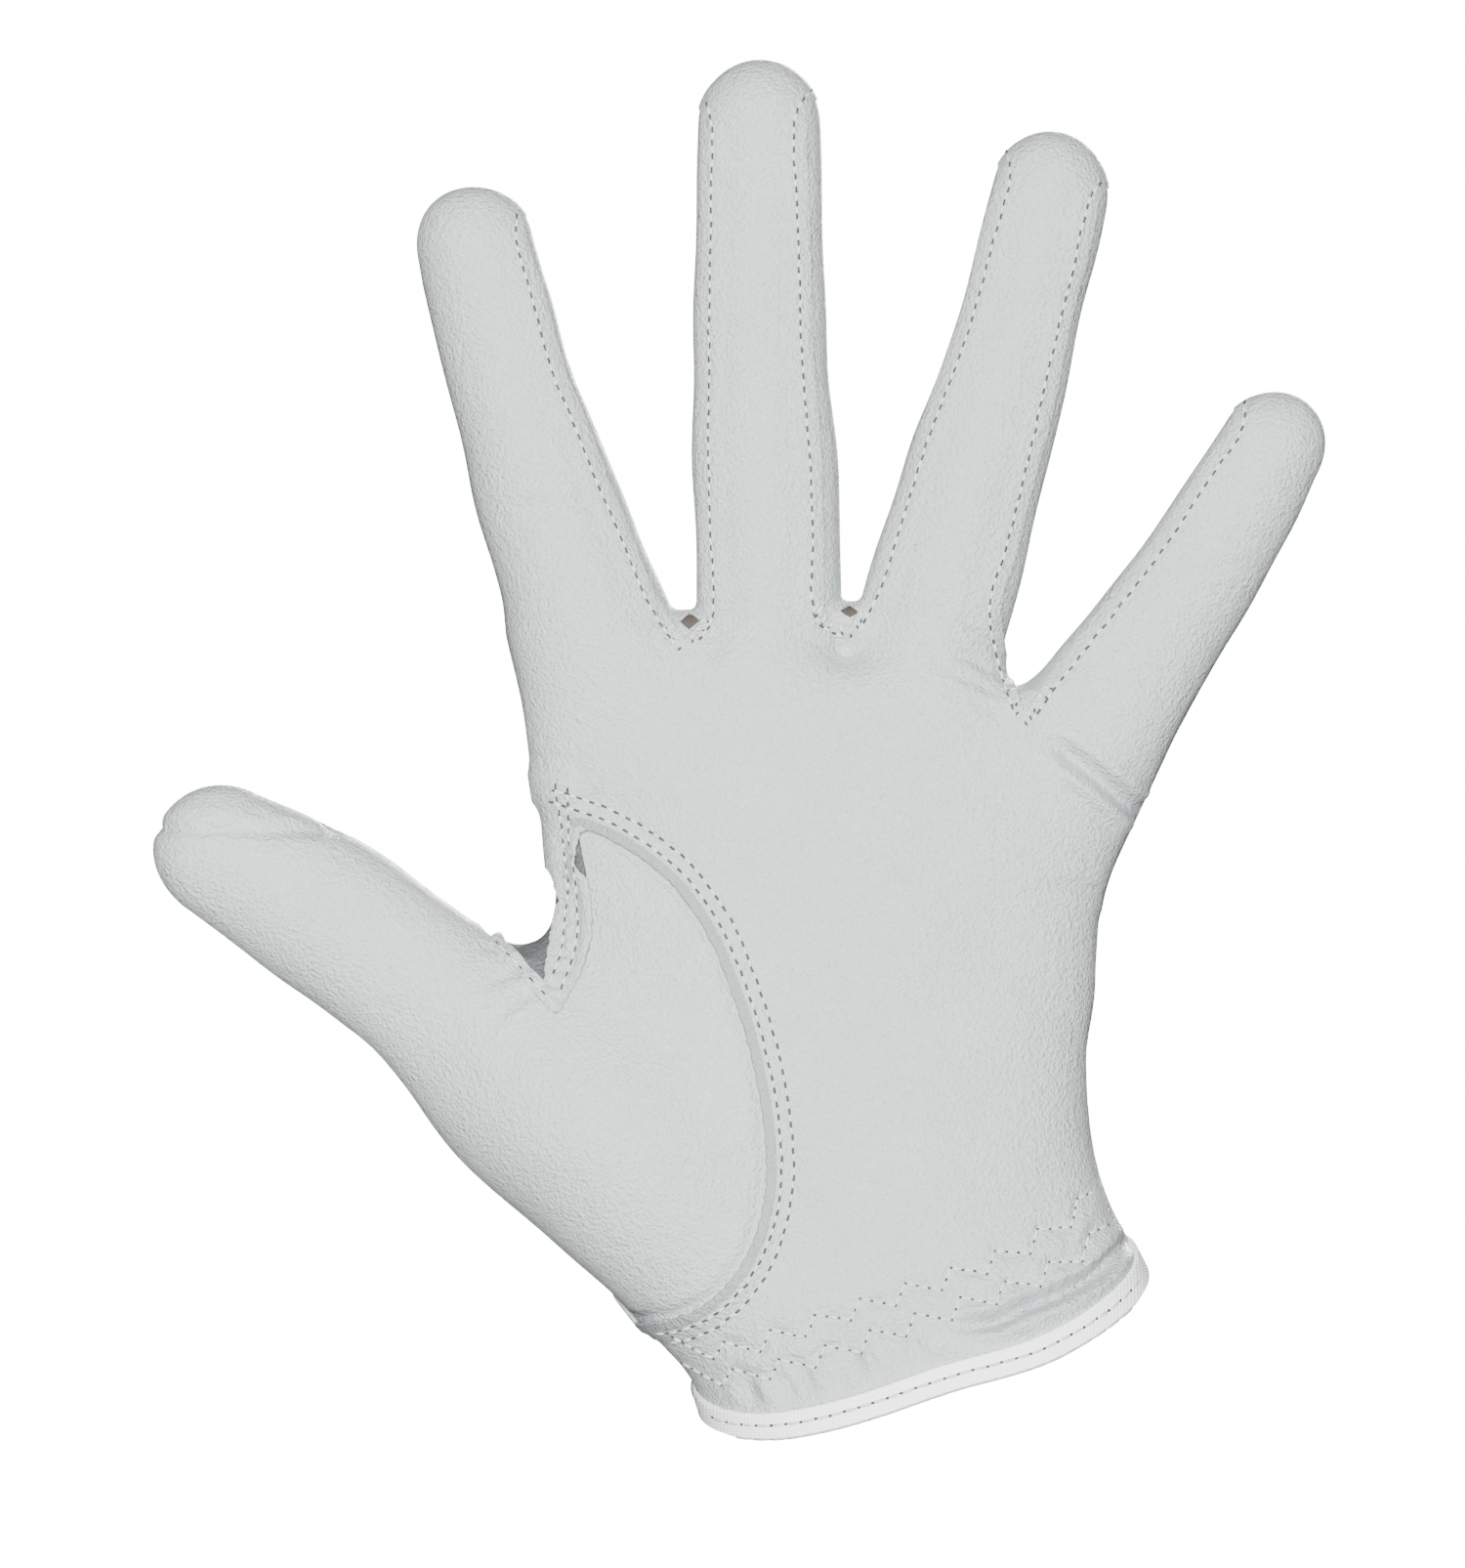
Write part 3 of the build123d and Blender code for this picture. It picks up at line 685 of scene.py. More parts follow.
# Near a digit's tip the lapped leather is pulled down flat
TIP_LENGTH, TIP_FADE = 15.0, 9.0
tip_fade = np.ones(len(points))
for digit in digits.values():
    s, _ = digit.local(points)
    on_tip = smooth_step((s - digit.tip + TIP_LENGTH) / TIP_FADE) * (tube_distance[digit.name] < 1.5)
    tip_fade -= 0.75 * on_tip
front_lift = front_lift * tip_fade
front_lift = front_lift * (1 - strip_share) + strip_lift * strip_share
back_edge = -np.maximum(web_field, np.maximum(thumb_back_field, gusset_field))
back_lift = lapped(back_edge, (SEAM_ROW,)) * smooth_step((y + 4.0) / 7.0) * tip_fade
under_lift = -0.9 * bump(thumb_field - 0.4, 1.0) * (y < 2.0)
lifts = {"front": front_lift, "back": back_lift, "under": under_lift}
layers = {}
for name, lift in lifts.items():
    lifted = points + normals * (relief + lift)[:, None]
    layers[name] = (lifted, vertex_normals(lifted, triangles))
print("layers:", ", ".join(layers))

# %% [markdown]
# ## Cutting a panel
# A panel is the part of a layer where its field is positive. Triangles that the zero line crosses are cut
# exactly on it, so an edge is a clean line however the grid lies. The cut skin then gets a thickness and a
# rounded raw edge, which is what makes it read as leather and not as paper.

# %% The cutter
def cut(field, *columns):
    """Cuts the form along field = 0 and returns the kept triangles and each column at their points."""
    keep = field > 0
    inside = keep[triangles]
    count = inside.sum(1)
    whole = triangles[count == 3]
    split = triangles[(count == 1) | (count == 2)]
    odd = (keep[split].sum(1) == 1)
    lone = np.where(odd[:, None], keep[split], ~keep[split]).argmax(1)
    rows = np.arange(len(split))
    a, b, c = split[rows, lone], split[rows, (lone + 1) % 3], split[rows, (lone + 2) % 3]
    pairs = np.sort(np.concatenate((np.stack((a, b), -1), np.stack((a, c), -1))), axis=1)
    unique, place = np.unique(pairs, axis=0, return_inverse=True)
    place = place.ravel() + len(field)
    ab, ac = place[:len(split)], place[len(split):]
    one = np.stack((a, ab, ac), -1)[odd]
    two = np.concatenate((np.stack((ab, b, c), -1)[~odd], np.stack((ab, c, ac), -1)[~odd]))
    kept = np.concatenate((whole, one, two))
    f0, f1 = field[unique[:, 0]], field[unique[:, 1]]
    share = (f0 / (f0 - f1))
    used, kept = np.unique(kept, return_inverse=True)
    results = []
    for column in columns:
        weight = share if column.ndim == 1 else share[:, None]
        fresh = column[unique[:, 0]] * (1 - weight) + column[unique[:, 1]] * weight
        results.append(np.concatenate((column, fresh))[used])
    return kept.reshape(-1, 3), *results


def shell_mesh(name, skin, normal, faces, thickness):
    """A closed mesh: the skin, its inner side, and a rounded edge round every hole and rim."""
    count = len(skin)
    edges = np.concatenate((faces[:, (0, 1)], faces[:, (1, 2)], faces[:, (2, 0)]))
    key = np.sort(edges, axis=1) @ np.array((count, 1))
    _, first, times = np.unique(key, return_index=True, return_counts=True)
    rim = edges[first[times == 1]]
    outward = np.zeros((count, 3))
    run = skin[rim[:, 1]] - skin[rim[:, 0]]
    side = np.cross(run, normal[rim[:, 0]])
    for i in (0, 1):
        np.add.at(outward, rim[:, i], side)
    ring = np.unique(rim)
    outward = outward[ring] / np.maximum(np.linalg.norm(outward[ring], axis=1), 1e-9)[:, None]
    spot = np.zeros(count, int)
    spot[ring] = np.arange(len(ring)) + 2 * count
    lowered = skin - normal * thickness
    edge = skin[ring] - normal[ring] * thickness * 0.5 + outward * thickness * 0.3
    a, b = rim[:, 0], rim[:, 1]
    quads = np.concatenate((np.stack((b, a, spot[a], spot[b]), -1),
                            np.stack((spot[b], spot[a], a + count, b + count), -1)))
    mesh = bpy.data.meshes.new(name)
    everything = np.concatenate((skin, lowered, edge)) * MM
    polygons = faces.tolist() + (faces[:, ::-1] + count).tolist() + quads.tolist()
    mesh.from_pydata(everything.tolist(), [], polygons)
    mesh.polygons.foreach_set("use_smooth", np.ones(len(mesh.polygons), bool))
    mesh.normals_split_custom_set_from_vertices(np.concatenate((normal, -normal, outward)).tolist())
    return mesh


def panel(name, layer, field, material, body=None, digit=None, raised=0.0, thickness=LEATHER, stands_for=()):
    """Cuts a panel from a layer and sends it with its body; a digit's panel is left where it is cut."""
    faces, skin, normal = cut(field, *layers[layer])
    piece = add_object(name, shell_mesh(name, skin + normal * raised, normal, faces, thickness))
    piece.data.materials.append(material)
    attach(piece, body, digit)
    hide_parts(*[node for node in stands_for if node in nodes])
    print(f"{name}: {len(piece.data.polygons)} faces")


def attach(piece, body=None, digit=None):
    if digit is None:
        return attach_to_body(piece, body)
    ends = [Vector((digit.hinge + digit.along * s) * MM) for s in (digit.start + 1.0, digit.flex_end)]
    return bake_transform(piece)

# %% [markdown]
# ## Finishes
# Glove leather is almost smooth: a satin skin with a fine pebble grain and a faint light and dark mottling.
# Everything below is written as plain arithmetic on sockets, so a finish reads like a formula.

# %% Shader sums
class Wire:
    """One output of a node, which can be added, multiplied, clamped and turned into a colour."""

    def __init__(self, tree, socket):
        self.tree, self.socket = tree, socket

    def maths(self, operation, a, b=0.0, clamp=False):
        settings = {"operation": operation, "use_clamp": clamp}
        return add_node(self.tree, "ShaderNodeMath", settings, {0: a, 1: b})

    def __add__(self, other):
        return self.maths("ADD", self, other)

    __radd__ = __add__

    def __mul__(self, other):
        return self.maths("MULTIPLY", self, other)

    __rmul__ = __mul__

    def clamped(self):
        return self.maths("ADD", self, 0.0, True)

    def blend(self, dark, light):
        """A colour between two, by this value."""
        return add_node(self.tree, "ShaderNodeMix", {"data_type": "RGBA"}, {0: self, 6: dark, 7: light}, 2)


def add_node(tree, kind, settings, inputs, output=0):
    node = tree.nodes.new(kind)
    for key, value in settings.items():
        setattr(node, key, value)
    for key, value in inputs.items():
        if isinstance(value, Wire):
            tree.links.new(value.socket, node.inputs[key])
        else:
            node.inputs[key].default_value = value
    return Wire(tree, node.outputs[output])


class Finish:
    """A material whose surface is described by wires and plain values."""

    def __init__(self, name):
        self.material = bpy.data.materials.new(name)
        self.material.use_nodes = True
        self.tree = self.material.node_tree
        self.shader = self.tree.nodes["Principled BSDF"]
        self.place = self.node("ShaderNodeTexCoord", {}, {}, "Object")

    def node(self, kind, settings, inputs, output=0):
        return add_node(self.tree, kind, settings, inputs, output)

    def noise(self, size, detail=3.0, roughness=0.55):
        """Cloudy noise whose spots are about size millimetres across."""
        return self.node("ShaderNodeTexNoise", {}, {"Vector": self.place, "Scale": 1 / (size * MM),
                                                    "Detail": detail, "Roughness": roughness}, "Fac")

    def cells(self, size, feature="SMOOTH_F1"):
        inputs = {"Vector": self.place, "Scale": 1 / (size * MM)}
        return self.node("ShaderNodeTexVoronoi", {"feature": feature}, inputs, "Distance")

    def stripes(self, size, direction="X"):
        settings = {"wave_type": "BANDS", "bands_direction": direction}
        return self.node("ShaderNodeTexWave", settings, {"Vector": self.place, "Scale": 0.314 / (size * MM),
                                                         "Distortion": 0.6, "Detail Scale": 3.0}, "Fac")

    def set(self, **inputs):
        for key, value in inputs.items():
            socket = self.shader.inputs[key.replace("_", " ").title().replace("Ior", "IOR")]
            if isinstance(value, Wire):
                self.tree.links.new(value.socket, socket)
            else:
                socket.default_value = value
        return self

    def bumps(self, height, depth):
        """Relief of about depth millimetres from a height between 0 and 1."""
        normal = self.node("ShaderNodeBump", {}, {"Height": height, "Distance": depth * MM}, "Normal")
        return self.set(normal=normal)


def white(value, tint=(1.0, 1.0, 1.0)):
    return (value * tint[0], value * tint[1], value * tint[2], 1)


# %% The finishes
COOL = (0.93, 0.995, 1.0)


def leather_finish(name, value, tint=COOL):
    finish = Finish(name)
    cloud, fine = finish.noise(16, 4), finish.noise(2.2, 4)
    grain = finish.cells(0.6)
    pores = finish.noise(0.3, 2)
    mottle = (cloud * 0.45 + fine * 0.3 + pores * 0.3).clamped()
    finish.set(base_color=mottle.blend(white(value * 0.82, tint), white(value * 1.06, tint)))
    finish.set(roughness=0.36 + cloud * 0.12 + fine * 0.1, specular_ior_level=0.42)
    finish.set(subsurface_weight=0.06, subsurface_radius=(1, 0.9, 0.8), subsurface_scale=0.0015)
    finish.bumps(grain * 0.5 + pores * 0.5 + fine * 0.45, 0.75)
    return finish.material


def thread_finish(name, value, tint=COOL):
    finish = Finish(name)
    twist = finish.stripes(0.35, "DIAGONAL")
    fine = finish.noise(1.5)
    shade = (twist * 0.5 + fine * 0.5).clamped()
    finish.set(base_color=shade.blend(white(value * 0.72, tint), white(value, tint)))
    finish.set(roughness=0.5 + fine * 0.15)
    finish.bumps(twist, 0.08)
    return finish.material


def tape_finish(name, value, tint=COOL):
    finish = Finish(name)
    warp, weft = finish.stripes(0.55, "X"), finish.stripes(0.45, "Z")
    weave = warp * 0.5 + weft * 0.5
    worn = finish.noise(6)
    shade = (weave * 0.5 + worn * 0.5).clamped()
    finish.set(base_color=shade.blend(white(value * 0.8, tint), white(value, tint)))
    finish.set(roughness=0.62 + worn * 0.15)
    finish.bumps(weave, 0.1)
    return finish.material


def pile_finish(name, value, tint):
    """Hook or loop fastening: a mat of tiny curled threads."""
    finish = Finish(name)
    curls, mat = finish.cells(0.5, "F1"), finish.noise(0.9, 4)
    shade = (curls * 0.6 + mat * 0.5).clamped()
    finish.set(base_color=shade.blend(white(value * 0.6, tint), white(value, tint)))
    finish.set(roughness=0.75 + mat * 0.15)
    finish.bumps(curls * 0.6 + mat * 0.4, 0.4)
    return finish.material


leather = leather_finish("white_leather", 0.47)
inset_leather = leather_finish("white_leather_inset", 0.485)
# The crotch gusset is the same white leather, painted much darker as painted shade for the hollow between thumb
# and index finger.
gusset_painted_shade_leather = leather_finish("crotch_leather", 0.1)
raw_edge = leather_finish("raw_leather_edge", 0.3)
thread = thread_finish("white_thread", 0.68)
# Needle holes get near-black bars: painted shadow in the holes.
hole_shadow_finish = thread_finish("needle_hole_shadow", 0.05)
hem_tape = tape_finish("hem_tape", 0.95, (0.99, 1.0, 1.0))
tan_thread = thread_finish("tan_thread", 0.5, (1.0, 0.78, 0.6))
lining = tape_finish("brown_lining", 0.075, (1.0, 0.82, 0.7))
elastic = tape_finish("wrist_elastic_weave", 0.72)
label_cloth = tape_finish("blank_label_cloth", 0.66)
tab_cloth = tape_finish("tab_lining_cloth", 0.7)
hooks = pile_finish("hook_pile", 0.6, (1.0, 1.0, 1.0))
loops = pile_finish("loop_pile", 0.75, (1.0, 1.0, 1.0))
floor_finish = Finish("pale_floor")
floor_finish.set(base_color=floor_finish.noise(300).blend(white(0.88), white(0.9)), roughness=0.8,
                 emission_color=(1, 1, 1, 1), emission_strength=16)
floor.data.materials.append(floor_finish.material)
print(len(bpy.data.materials), "finishes")

# %% [markdown]
# ## The leather pieces
# Panels are cut in the order a glover sews them: the big palm and back, the inset thumb, then the fingers'
# fronts, backs and side strips. A panel that crosses the root of a digit is in two parts that share one edge
# and one set of normals, so the join can't be seen.

# %% Edges that several pieces share
SLIT_U, SLIT_TOP = 3.0, 52.0
SLIT_MOUTH, SLIT_TIP = 3.4, 1.2
UNDER = 2.6              # how far an inset piece runs on under its neighbour
SUNK = -0.12             # keeps it a hair below
opening = np.interp(h, (0, SLIT_TOP), (SLIT_MOUTH, SLIT_TIP))
slit_field = np.where(h < SLIT_TOP, np.abs(u - SLIT_U) - opening,
                      np.hypot(u - SLIT_U, h - SLIT_TOP) - SLIT_TIP) + 1e3 * (y < 0)


def both(*fields):
    return np.min(fields, axis=0)


layers["trim"] = (points + normals * (0.5 * relief + 0.25)[:, None], normals)
not_thumb = both(-thumb_field, -gusset_field)

# %% Palm, back and thumb base
palm_outline = np.maximum(both(fold_edge, not_thumb), both(strip_outline + ragged, 3.0 - y))
panel("palm_leather", "front", both(palm_outline, -web_field, hem_field, hand_field), leather, "hand",
      stands_for=["palm_panel"])
back_outline = both(-web_field, -fold_edge, not_thumb, slit_field)
panel("back_leather", "back", both(back_outline, hem_field, hand_field), leather, "hand",
      stands_for=["back_panel"])
thumb_outline = both(thumb_field + UNDER, -gusset_field)
panel("thumb_base_leather", "under", both(thumb_outline, hem_field, hand_field), inset_leather, "hand",
      raised=SUNK, stands_for=["thumb_base_panel"])
# Its dark colour is painted shade for the crotch's hollow.
panel("thumb_crotch_leather", "under", both(gusset_field + UNDER, hand_field), gusset_painted_shade_leather,
      "hand", raised=SUNK - 0.5, stands_for=["thumb_crotch_gusset"])

# %% The thumb's welt and the crescent's raw edge
WELT = ((-68.4, 65.3), (-66.8, 63.6), (-64.0, 60.8), (-58.9, 55.4))
WELT_HALF, WELT_RAISED = 0.95, 0.5
welt_away = line_distance(flat, smooth_line(WELT))[0]
panel("crotch_welt_leather", "under", both(WELT_HALF - welt_away, hand_field, 2.0 - y), inset_leather, "hand",
      raised=WELT_RAISED, thickness=1.1)
crescent_strip = both(-thumb_front_field + 0.05, 1.35 + thumb_front_field - ragged, not_thumb + 0.6, 2.0 - y)
panel("crescent_raw_edge", "front", both(crescent_strip, hem_field, hand_field), raw_edge, "hand", raised=0.06,
      thickness=LEATHER)

# %% Digits
for name in FINGERS:
    digit, here = digits[name], digit_field[name]
    panel(f"{name}_front_leather", "front", both(-web_field, fold_edge, here), leather, digit=digit,
          stands_for=[f"{name}_front", f"{name}_flex_sleeve"])
    panel(f"{name}_back_leather", "back", both(-web_field, -fold_edge, here), leather, digit=digit,
          stands_for=[f"{name}_back"])
for (left, right), outline in zip(zip(FINGERS[:-1], FINGERS[1:]), web_outlines.values()):
    strip = outline_field(flat, outline) + UNDER
    for name, other, side in ((left, right, "outer_side"), (right, left, "thumb_side")):
        short = f"{name}_fourchette"
        stands_for = [short, f"{short}_{side}"]
        panel(f"{name}_{side}_strip", "under", both(strip, digit_field[name]), inset_leather,
              digit=digits[name], raised=SUNK, stands_for=stands_for)
thumb_here = digit_field["thumb"]
panel("thumb_front_leather", "under", both(thumb_here, THUMB_SEAM_Y - y, -gusset_field), inset_leather,
      digit=thumb, raised=SUNK, stands_for=["thumb_front", "thumb_flex_sleeve"])
panel("thumb_back_leather", "under", both(thumb_here, y - THUMB_SEAM_Y, -gusset_field), inset_leather,
      digit=thumb, raised=SUNK, stands_for=["thumb_back"])

# %% Web gussets with their small openings
for label in crotches:
    patch = outline_field(flat, web_outlines[label])
    open_web = f"web_lining_{label}" in nodes
    if open_web:
        centre, half_size = OPENINGS[label]
        hole = (np.abs((flat - centre) / half_size).sum(axis=1) - 1) * min(half_size)
    whole = both(patch + UNDER, hand_field)
    panel(f"web_patch_{label}", "under", both(whole, hole) if open_web else whole, inset_leather, "hand",
          raised=SUNK, stands_for=[f"web_gusset_{label}"])
    if open_web:
        panel(f"web_window_lining_{label}", "under", both(hand_field, 3.0 - hole), lining, "hand",
              raised=SUNK - LEATHER, thickness=0.4, stands_for=[f"web_lining_{label}"])

# %% [markdown]
# ## Tape, elastic, label and closure
# The hem and the slit are bound with white woven tape folded over the raw edge. Elastic is sewn inside the
# wrist, under the two zigzag rows. On the back a leather tab with a hook patch closes over a loop patch.

# %% Hem tape and slit tape
TAPE = 2.5               # how far the tape reaches up from the edge
TAPE_THICK = 2.0         # through both its sides and the leather between
TAPE_RAISED = 0.85
layers["tape"] = (points + normals * (relief * smooth_step((hem_field - 1) / 6) + 0.35)[:, None], normals)
hem_width = both(hem_field + 0.6, TAPE - hem_field)
panel("hem_tape", "tape", both(hem_width, slit_field - 0.6), hem_tape, "hand", raised=TAPE_RAISED,
      thickness=TAPE_THICK, stands_for=["hem_binding"])
panel("slit_tape", "tape", both(slit_field + 0.8, 3.0 - slit_field, hem_field + 0.9, y), hem_tape, "hand",
      raised=TAPE_RAISED + 0.1, thickness=TAPE_THICK + 0.2, stands_for=["slit_binding"])

# %% Elastic and label, inside
def rounded_box(across, up, centre, half, corner):
    """Signed distance to a box with rounded corners, positive inside."""
    out_u = np.abs(across - centre[0]) - half[0] + corner
    out_h = np.abs(up - centre[1]) - half[1] + corner
    outside = np.hypot(np.maximum(out_u, 0), np.maximum(out_h, 0))
    return corner - outside - np.minimum(np.maximum(out_u, out_h), 0)


front_only, back_only = -1e3 * (y > 0), -1e3 * (y < 0)
panel("wrist_elastic_band", "trim", rounded_box(u, h, (0, 9.5), (27, 4.5), 0.5) + front_only, elastic, "hand",
      raised=-1.3, stands_for=["wrist_elastic"])
panel("blank_label", "trim", rounded_box(u, h, (-14, 24), (7, 4.5), 0.6) + back_only, label_cloth, "hand",
      raised=-1.2, thickness=0.3, stands_for=["size_label"])

# %% Closure tab
TAB_LEFT, TAB_RIGHT, TAB_LOW, TAB_HIGH = -17.0, 27.0, 16.0, 45.0
TAB_CORNER = 8.0
TAB_FOLD = -9.8          # the tab lifts along this line
HOOK_LEFT = 12.5
tab_middle = ((TAB_LEFT + TAB_RIGHT) / 2, (TAB_LOW + TAB_HIGH) / 2)
tab_half = ((TAB_RIGHT - TAB_LEFT) / 2, (TAB_HIGH - TAB_LOW) / 2)
tab_outline = np.where(u < 0, rounded_box(u, h, tab_middle, tab_half, 2.0),
                       rounded_box(u, h, tab_middle, tab_half, TAB_CORNER)) + back_only
tab_rise = smooth_step((u - TAB_FOLD + 3.0) / 6.0)
sewn_down = 0.9 * (1 - tab_rise)
swell = 0.5 * smooth_step(tab_outline / 4.0)
layers["tab"] = (points + normals * (3.1 - sewn_down - 0.25 + swell)[:, None], normals)
layers["tab"] = (layers["tab"][0], vertex_normals(layers["tab"][0], triangles))


def closing(name, field, material, stands_for, raised, thickness):
    """A layer of the closure, which bends along the tab's fold."""
    faces, skin, normal = cut(field, *layers["tab"])
    piece = add_object(name, shell_mesh(name, skin + normal * raised, normal, faces, thickness))
    piece.data.materials.append(material)
    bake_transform(piece)
    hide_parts(*stands_for)


closing("tab_leather", tab_outline, leather, ["closure_tab", "tab_strip"], 0, LEATHER)
closing("tab_backing", both(tab_outline - 0.8, u - TAB_LEFT - 3), tab_cloth, ["tab_lining"], -LEATHER, 0.5)
hook_outline = rounded_box(u, h, ((HOOK_LEFT + TAB_RIGHT - 3.5) / 2, tab_middle[1]),
                           ((TAB_RIGHT - 3.5 - HOOK_LEFT) / 2, tab_half[1] - 3.5), 4.0) + back_only
panel("hook_fastener", "tab", hook_outline, hooks, "closure_tab", raised=-LEATHER - 0.5, thickness=0.7,
      stands_for=["hook_patch"])
panel("loop_fastener", "trim", hook_outline + 1.5, loops, "hand", raised=0.85, thickness=0.9,
      stands_for=["loop_patch"])

# %% [markdown]
# ## Stitching
# Every row of stitches is real thread. A row is a line drawn on the palm's plane; places along it are dropped
# onto the leather with rays. A small rounded thread is laid between each pair, its ends sunk as if it went
# down a needle hole. Stitch length and angle vary a little, as they do on a sewing machine fed by hand.
# Each needle hole gets a short dark bar of painted shadow.

# %% A thread and a row of threads
THREAD = 0.24            # radius of the sewing thread
STITCH = 2.1             # needle hole to needle hole
STITCH_GAP = 0.4         # share of each stitch where the thread is down in a hole
HOLE = 1.1               # length of the dark bar of painted shadow at each needle hole
THREAD_SIDES = 6
# Along a stitch: place from -0.5 to 0.5, thickness as a share, height above the leather as a share
THREAD_SHAPE = ((-0.5, 0.45, -1.3), (-0.43, 0.85, -0.1), (-0.25, 1.0, 0.5), (0.0, 1.0, 0.62),
                (0.25, 1.0, 0.5), (0.43, 0.85, -0.1), (0.5, 0.45, -1.3))
seen_skin = {}


def remember_skin(name, side, layer, raised=0.0):
    top = layers[layer][0] + layers[layer][1] * raised
    if name == "leather":
        inset = ((thumb_field > 0) | (thumb_here > 0)) & (strip_outline < 0)
        top[inset] = (layers["under"][0] + layers["under"][1] * SUNK)[inset]
    seen_skin[name, side] = BVHTree.FromPolygons(top.tolist(), triangles.tolist())


remember_skin("leather", -1, "front")
remember_skin("leather", 1, "back")
remember_skin("tape", -1, "tape", TAPE_RAISED)
remember_skin("tape", 1, "tape", TAPE_RAISED + 0.1)
remember_skin("tab", 1, "tab")
remember_skin("welt", -1, "under", WELT_RAISED)
threads = {}


def dropped(place, side, skin="leather"):
    """A skin's point and normal under an (x, z) place, from the palm (-1) or the back (1)."""
    start = Vector((place[0], side * 60.0, place[1]))
    hit, normal, _, _ = seen_skin[skin, side].ray_cast(start, Vector((0, -side, 0)))
    return (None, None) if hit is None else (np.array(hit), np.array(normal))


def owner(point):
    for name, digit in digits.items():
        s, across = digit.local(point[None])
        if s[0] > digit.start and abs(across[0]) < 17 and tip_of[name] > s[0]:
            return name
    return "hand"


tip_of = {name: digit.tip + 3 for name, digit in digits.items()}


def lay_stitch(start, end, side, group, radius=THREAD, raised=0.0, skin="leather", hole=HOLE,
               gap=STITCH_GAP):
    """One thread from place to place, with a dark bar of painted shadow at the needle hole at its start."""
    (a, normal_a), (b, normal_b) = dropped(start, side, skin), dropped(end, side, skin)
    if a is None or b is None or np.linalg.norm(b - a) > 3 * math.dist(start, end) + 0.5:
        return
    run, up = b - a, normal_a + normal_b
    length = np.linalg.norm(run)
    run, up = run / length, up / np.linalg.norm(up)
    middle = (a + b) / 2
    key = owner(middle)
    lay_thread(f"{group}_{key}", middle + up * raised, run, up, length * (1 - gap), radius, 1.0)
    # a dark bar of painted shadow where the thread goes down into the hole
    if hole:
        holes = "tabhole" if group == "tab" else "hole"
        lay_thread(f"{holes}_{key}", a + up * 0.02, run, normal_a, hole, radius * 0.85, 0.45)


def lay_thread(key, middle, run, up, length, radius, height):
    """A rounded bar of thread, with its ends turned down."""
    across = np.cross(run, up)
    across /= np.linalg.norm(across)
    up = np.cross(across, run)
    thread_points, faces = threads.setdefault(key, ([], []))
    base = len(thread_points)
    for at, thick, rise in THREAD_SHAPE:
        centre = middle + run * (at * length) + up * (rise * radius * height)
        for i in range(THREAD_SIDES):
            turn = 2 * math.pi * i / THREAD_SIDES
            outward = math.cos(turn) * across + height * math.sin(turn) * up
            thread_points.append(centre + radius * thick * outward)
    for ring in range(len(THREAD_SHAPE) - 1):
        for i in range(THREAD_SIDES):
            j = (i + 1) % THREAD_SIDES
            low, high = base + ring * THREAD_SIDES, base + (ring + 1) * THREAD_SIDES
            faces.append((low + i, low + j, high + j, high + i))
    last = base + (len(THREAD_SHAPE) - 1) * THREAD_SIDES
    faces.append(tuple(base + i for i in reversed(range(THREAD_SIDES))))
    faces.append(tuple(last + i for i in range(THREAD_SIDES)))


def even_places(line, length):
    """Places along a line, length apart."""
    line = np.asarray(line, float)
    gone = np.concatenate(([0], np.cumsum(np.hypot(*np.diff(line, axis=0).T))))
    count = max(int(gone[-1] / length), 1)
    at = np.linspace(0, gone[-1], count + 1)
    return np.stack([np.interp(at, gone, line[:, i]) for i in (0, 1)], -1)


def moved_aside(line, distance):
    """A copy of a line moved to the left of its direction, with any loops at tight corners removed."""
    line = np.asarray(line, float)
    run = np.gradient(line, axis=0)
    run /= np.hypot(*run.T)[:, None]
    moved = line + distance * np.stack((-run[:, 1], run[:, 0]), -1)
    away = line_distance(moved, line)[0]
    return moved[away > abs(distance) - 0.05]


def sew(line, side, group, length=STITCH, radius=THREAD, uneven=0.12, skin="leather", hole=HOLE,
        gap=STITCH_GAP):
    """A row of stitches along a line of places, each place moved a little at random."""
    places = even_places(line, length)
    places = places + rng.normal(size=places.shape) * uneven * 0.5
    for start, end in zip(places[:-1], places[1:]):
        lay_stitch(start, end, side, group, radius, 0.0, skin, hole, gap)


# %% Rows along the side seams, the thumb's crescent and the crotch
for (name, side), seam in web_seams.items():
    for face in (-1, 1):
        sew(moved_aside(seam, side * -SEAM_ROW)[3:], face, "seam")
crescent_rows = np.vstack((((-60.2, 85.4), (-57.4, 84.7)), CRESCENT))
for row in CRESCENT_ROWS:
    sew(moved_aside(crescent_rows, row), -1, "seam", STITCH)
for row in CROTCH_ROWS:
    sew(smooth_line(row), -1, "crotch", 2.0)
sew(smooth_line(WELT), -1, "crotch", 2.4, THREAD * 0.8, 0.1, "welt")
sew(moved_aside(THUMB_BACK, 1.6), 1, "seam")

# %% Whip stitches round the web patches
WHIP = 1.5
for label, outline in web_outlines.items():
    x, z = crotches[label]
    round_web = [place for place in even_places(outline, WHIP) if place[1] < z - 0.5]
    for place in round_web:
        inward = np.array((x, z)) - place
        inward /= max(np.hypot(*inward), 0.5)
        lean = np.array((-inward[1], inward[0])) * rng.normal() * 0.45
        start, end = place - inward * 1.1 + lean, place + inward * 0.5 - lean
        lay_stitch(start, end, -1, "seam", THREAD * 0.9, 0.15, hole=0.8)

# %% Zigzag rows over the elastic
def on_wrist(row):
    """(x, z) places of a row given as (u, h)."""
    row = np.asarray(row, float)
    return np.stack([row[:, 0] * cuff_along[i] + row[:, 1] * cuff_up[i] for i in (0, 2)], -1)


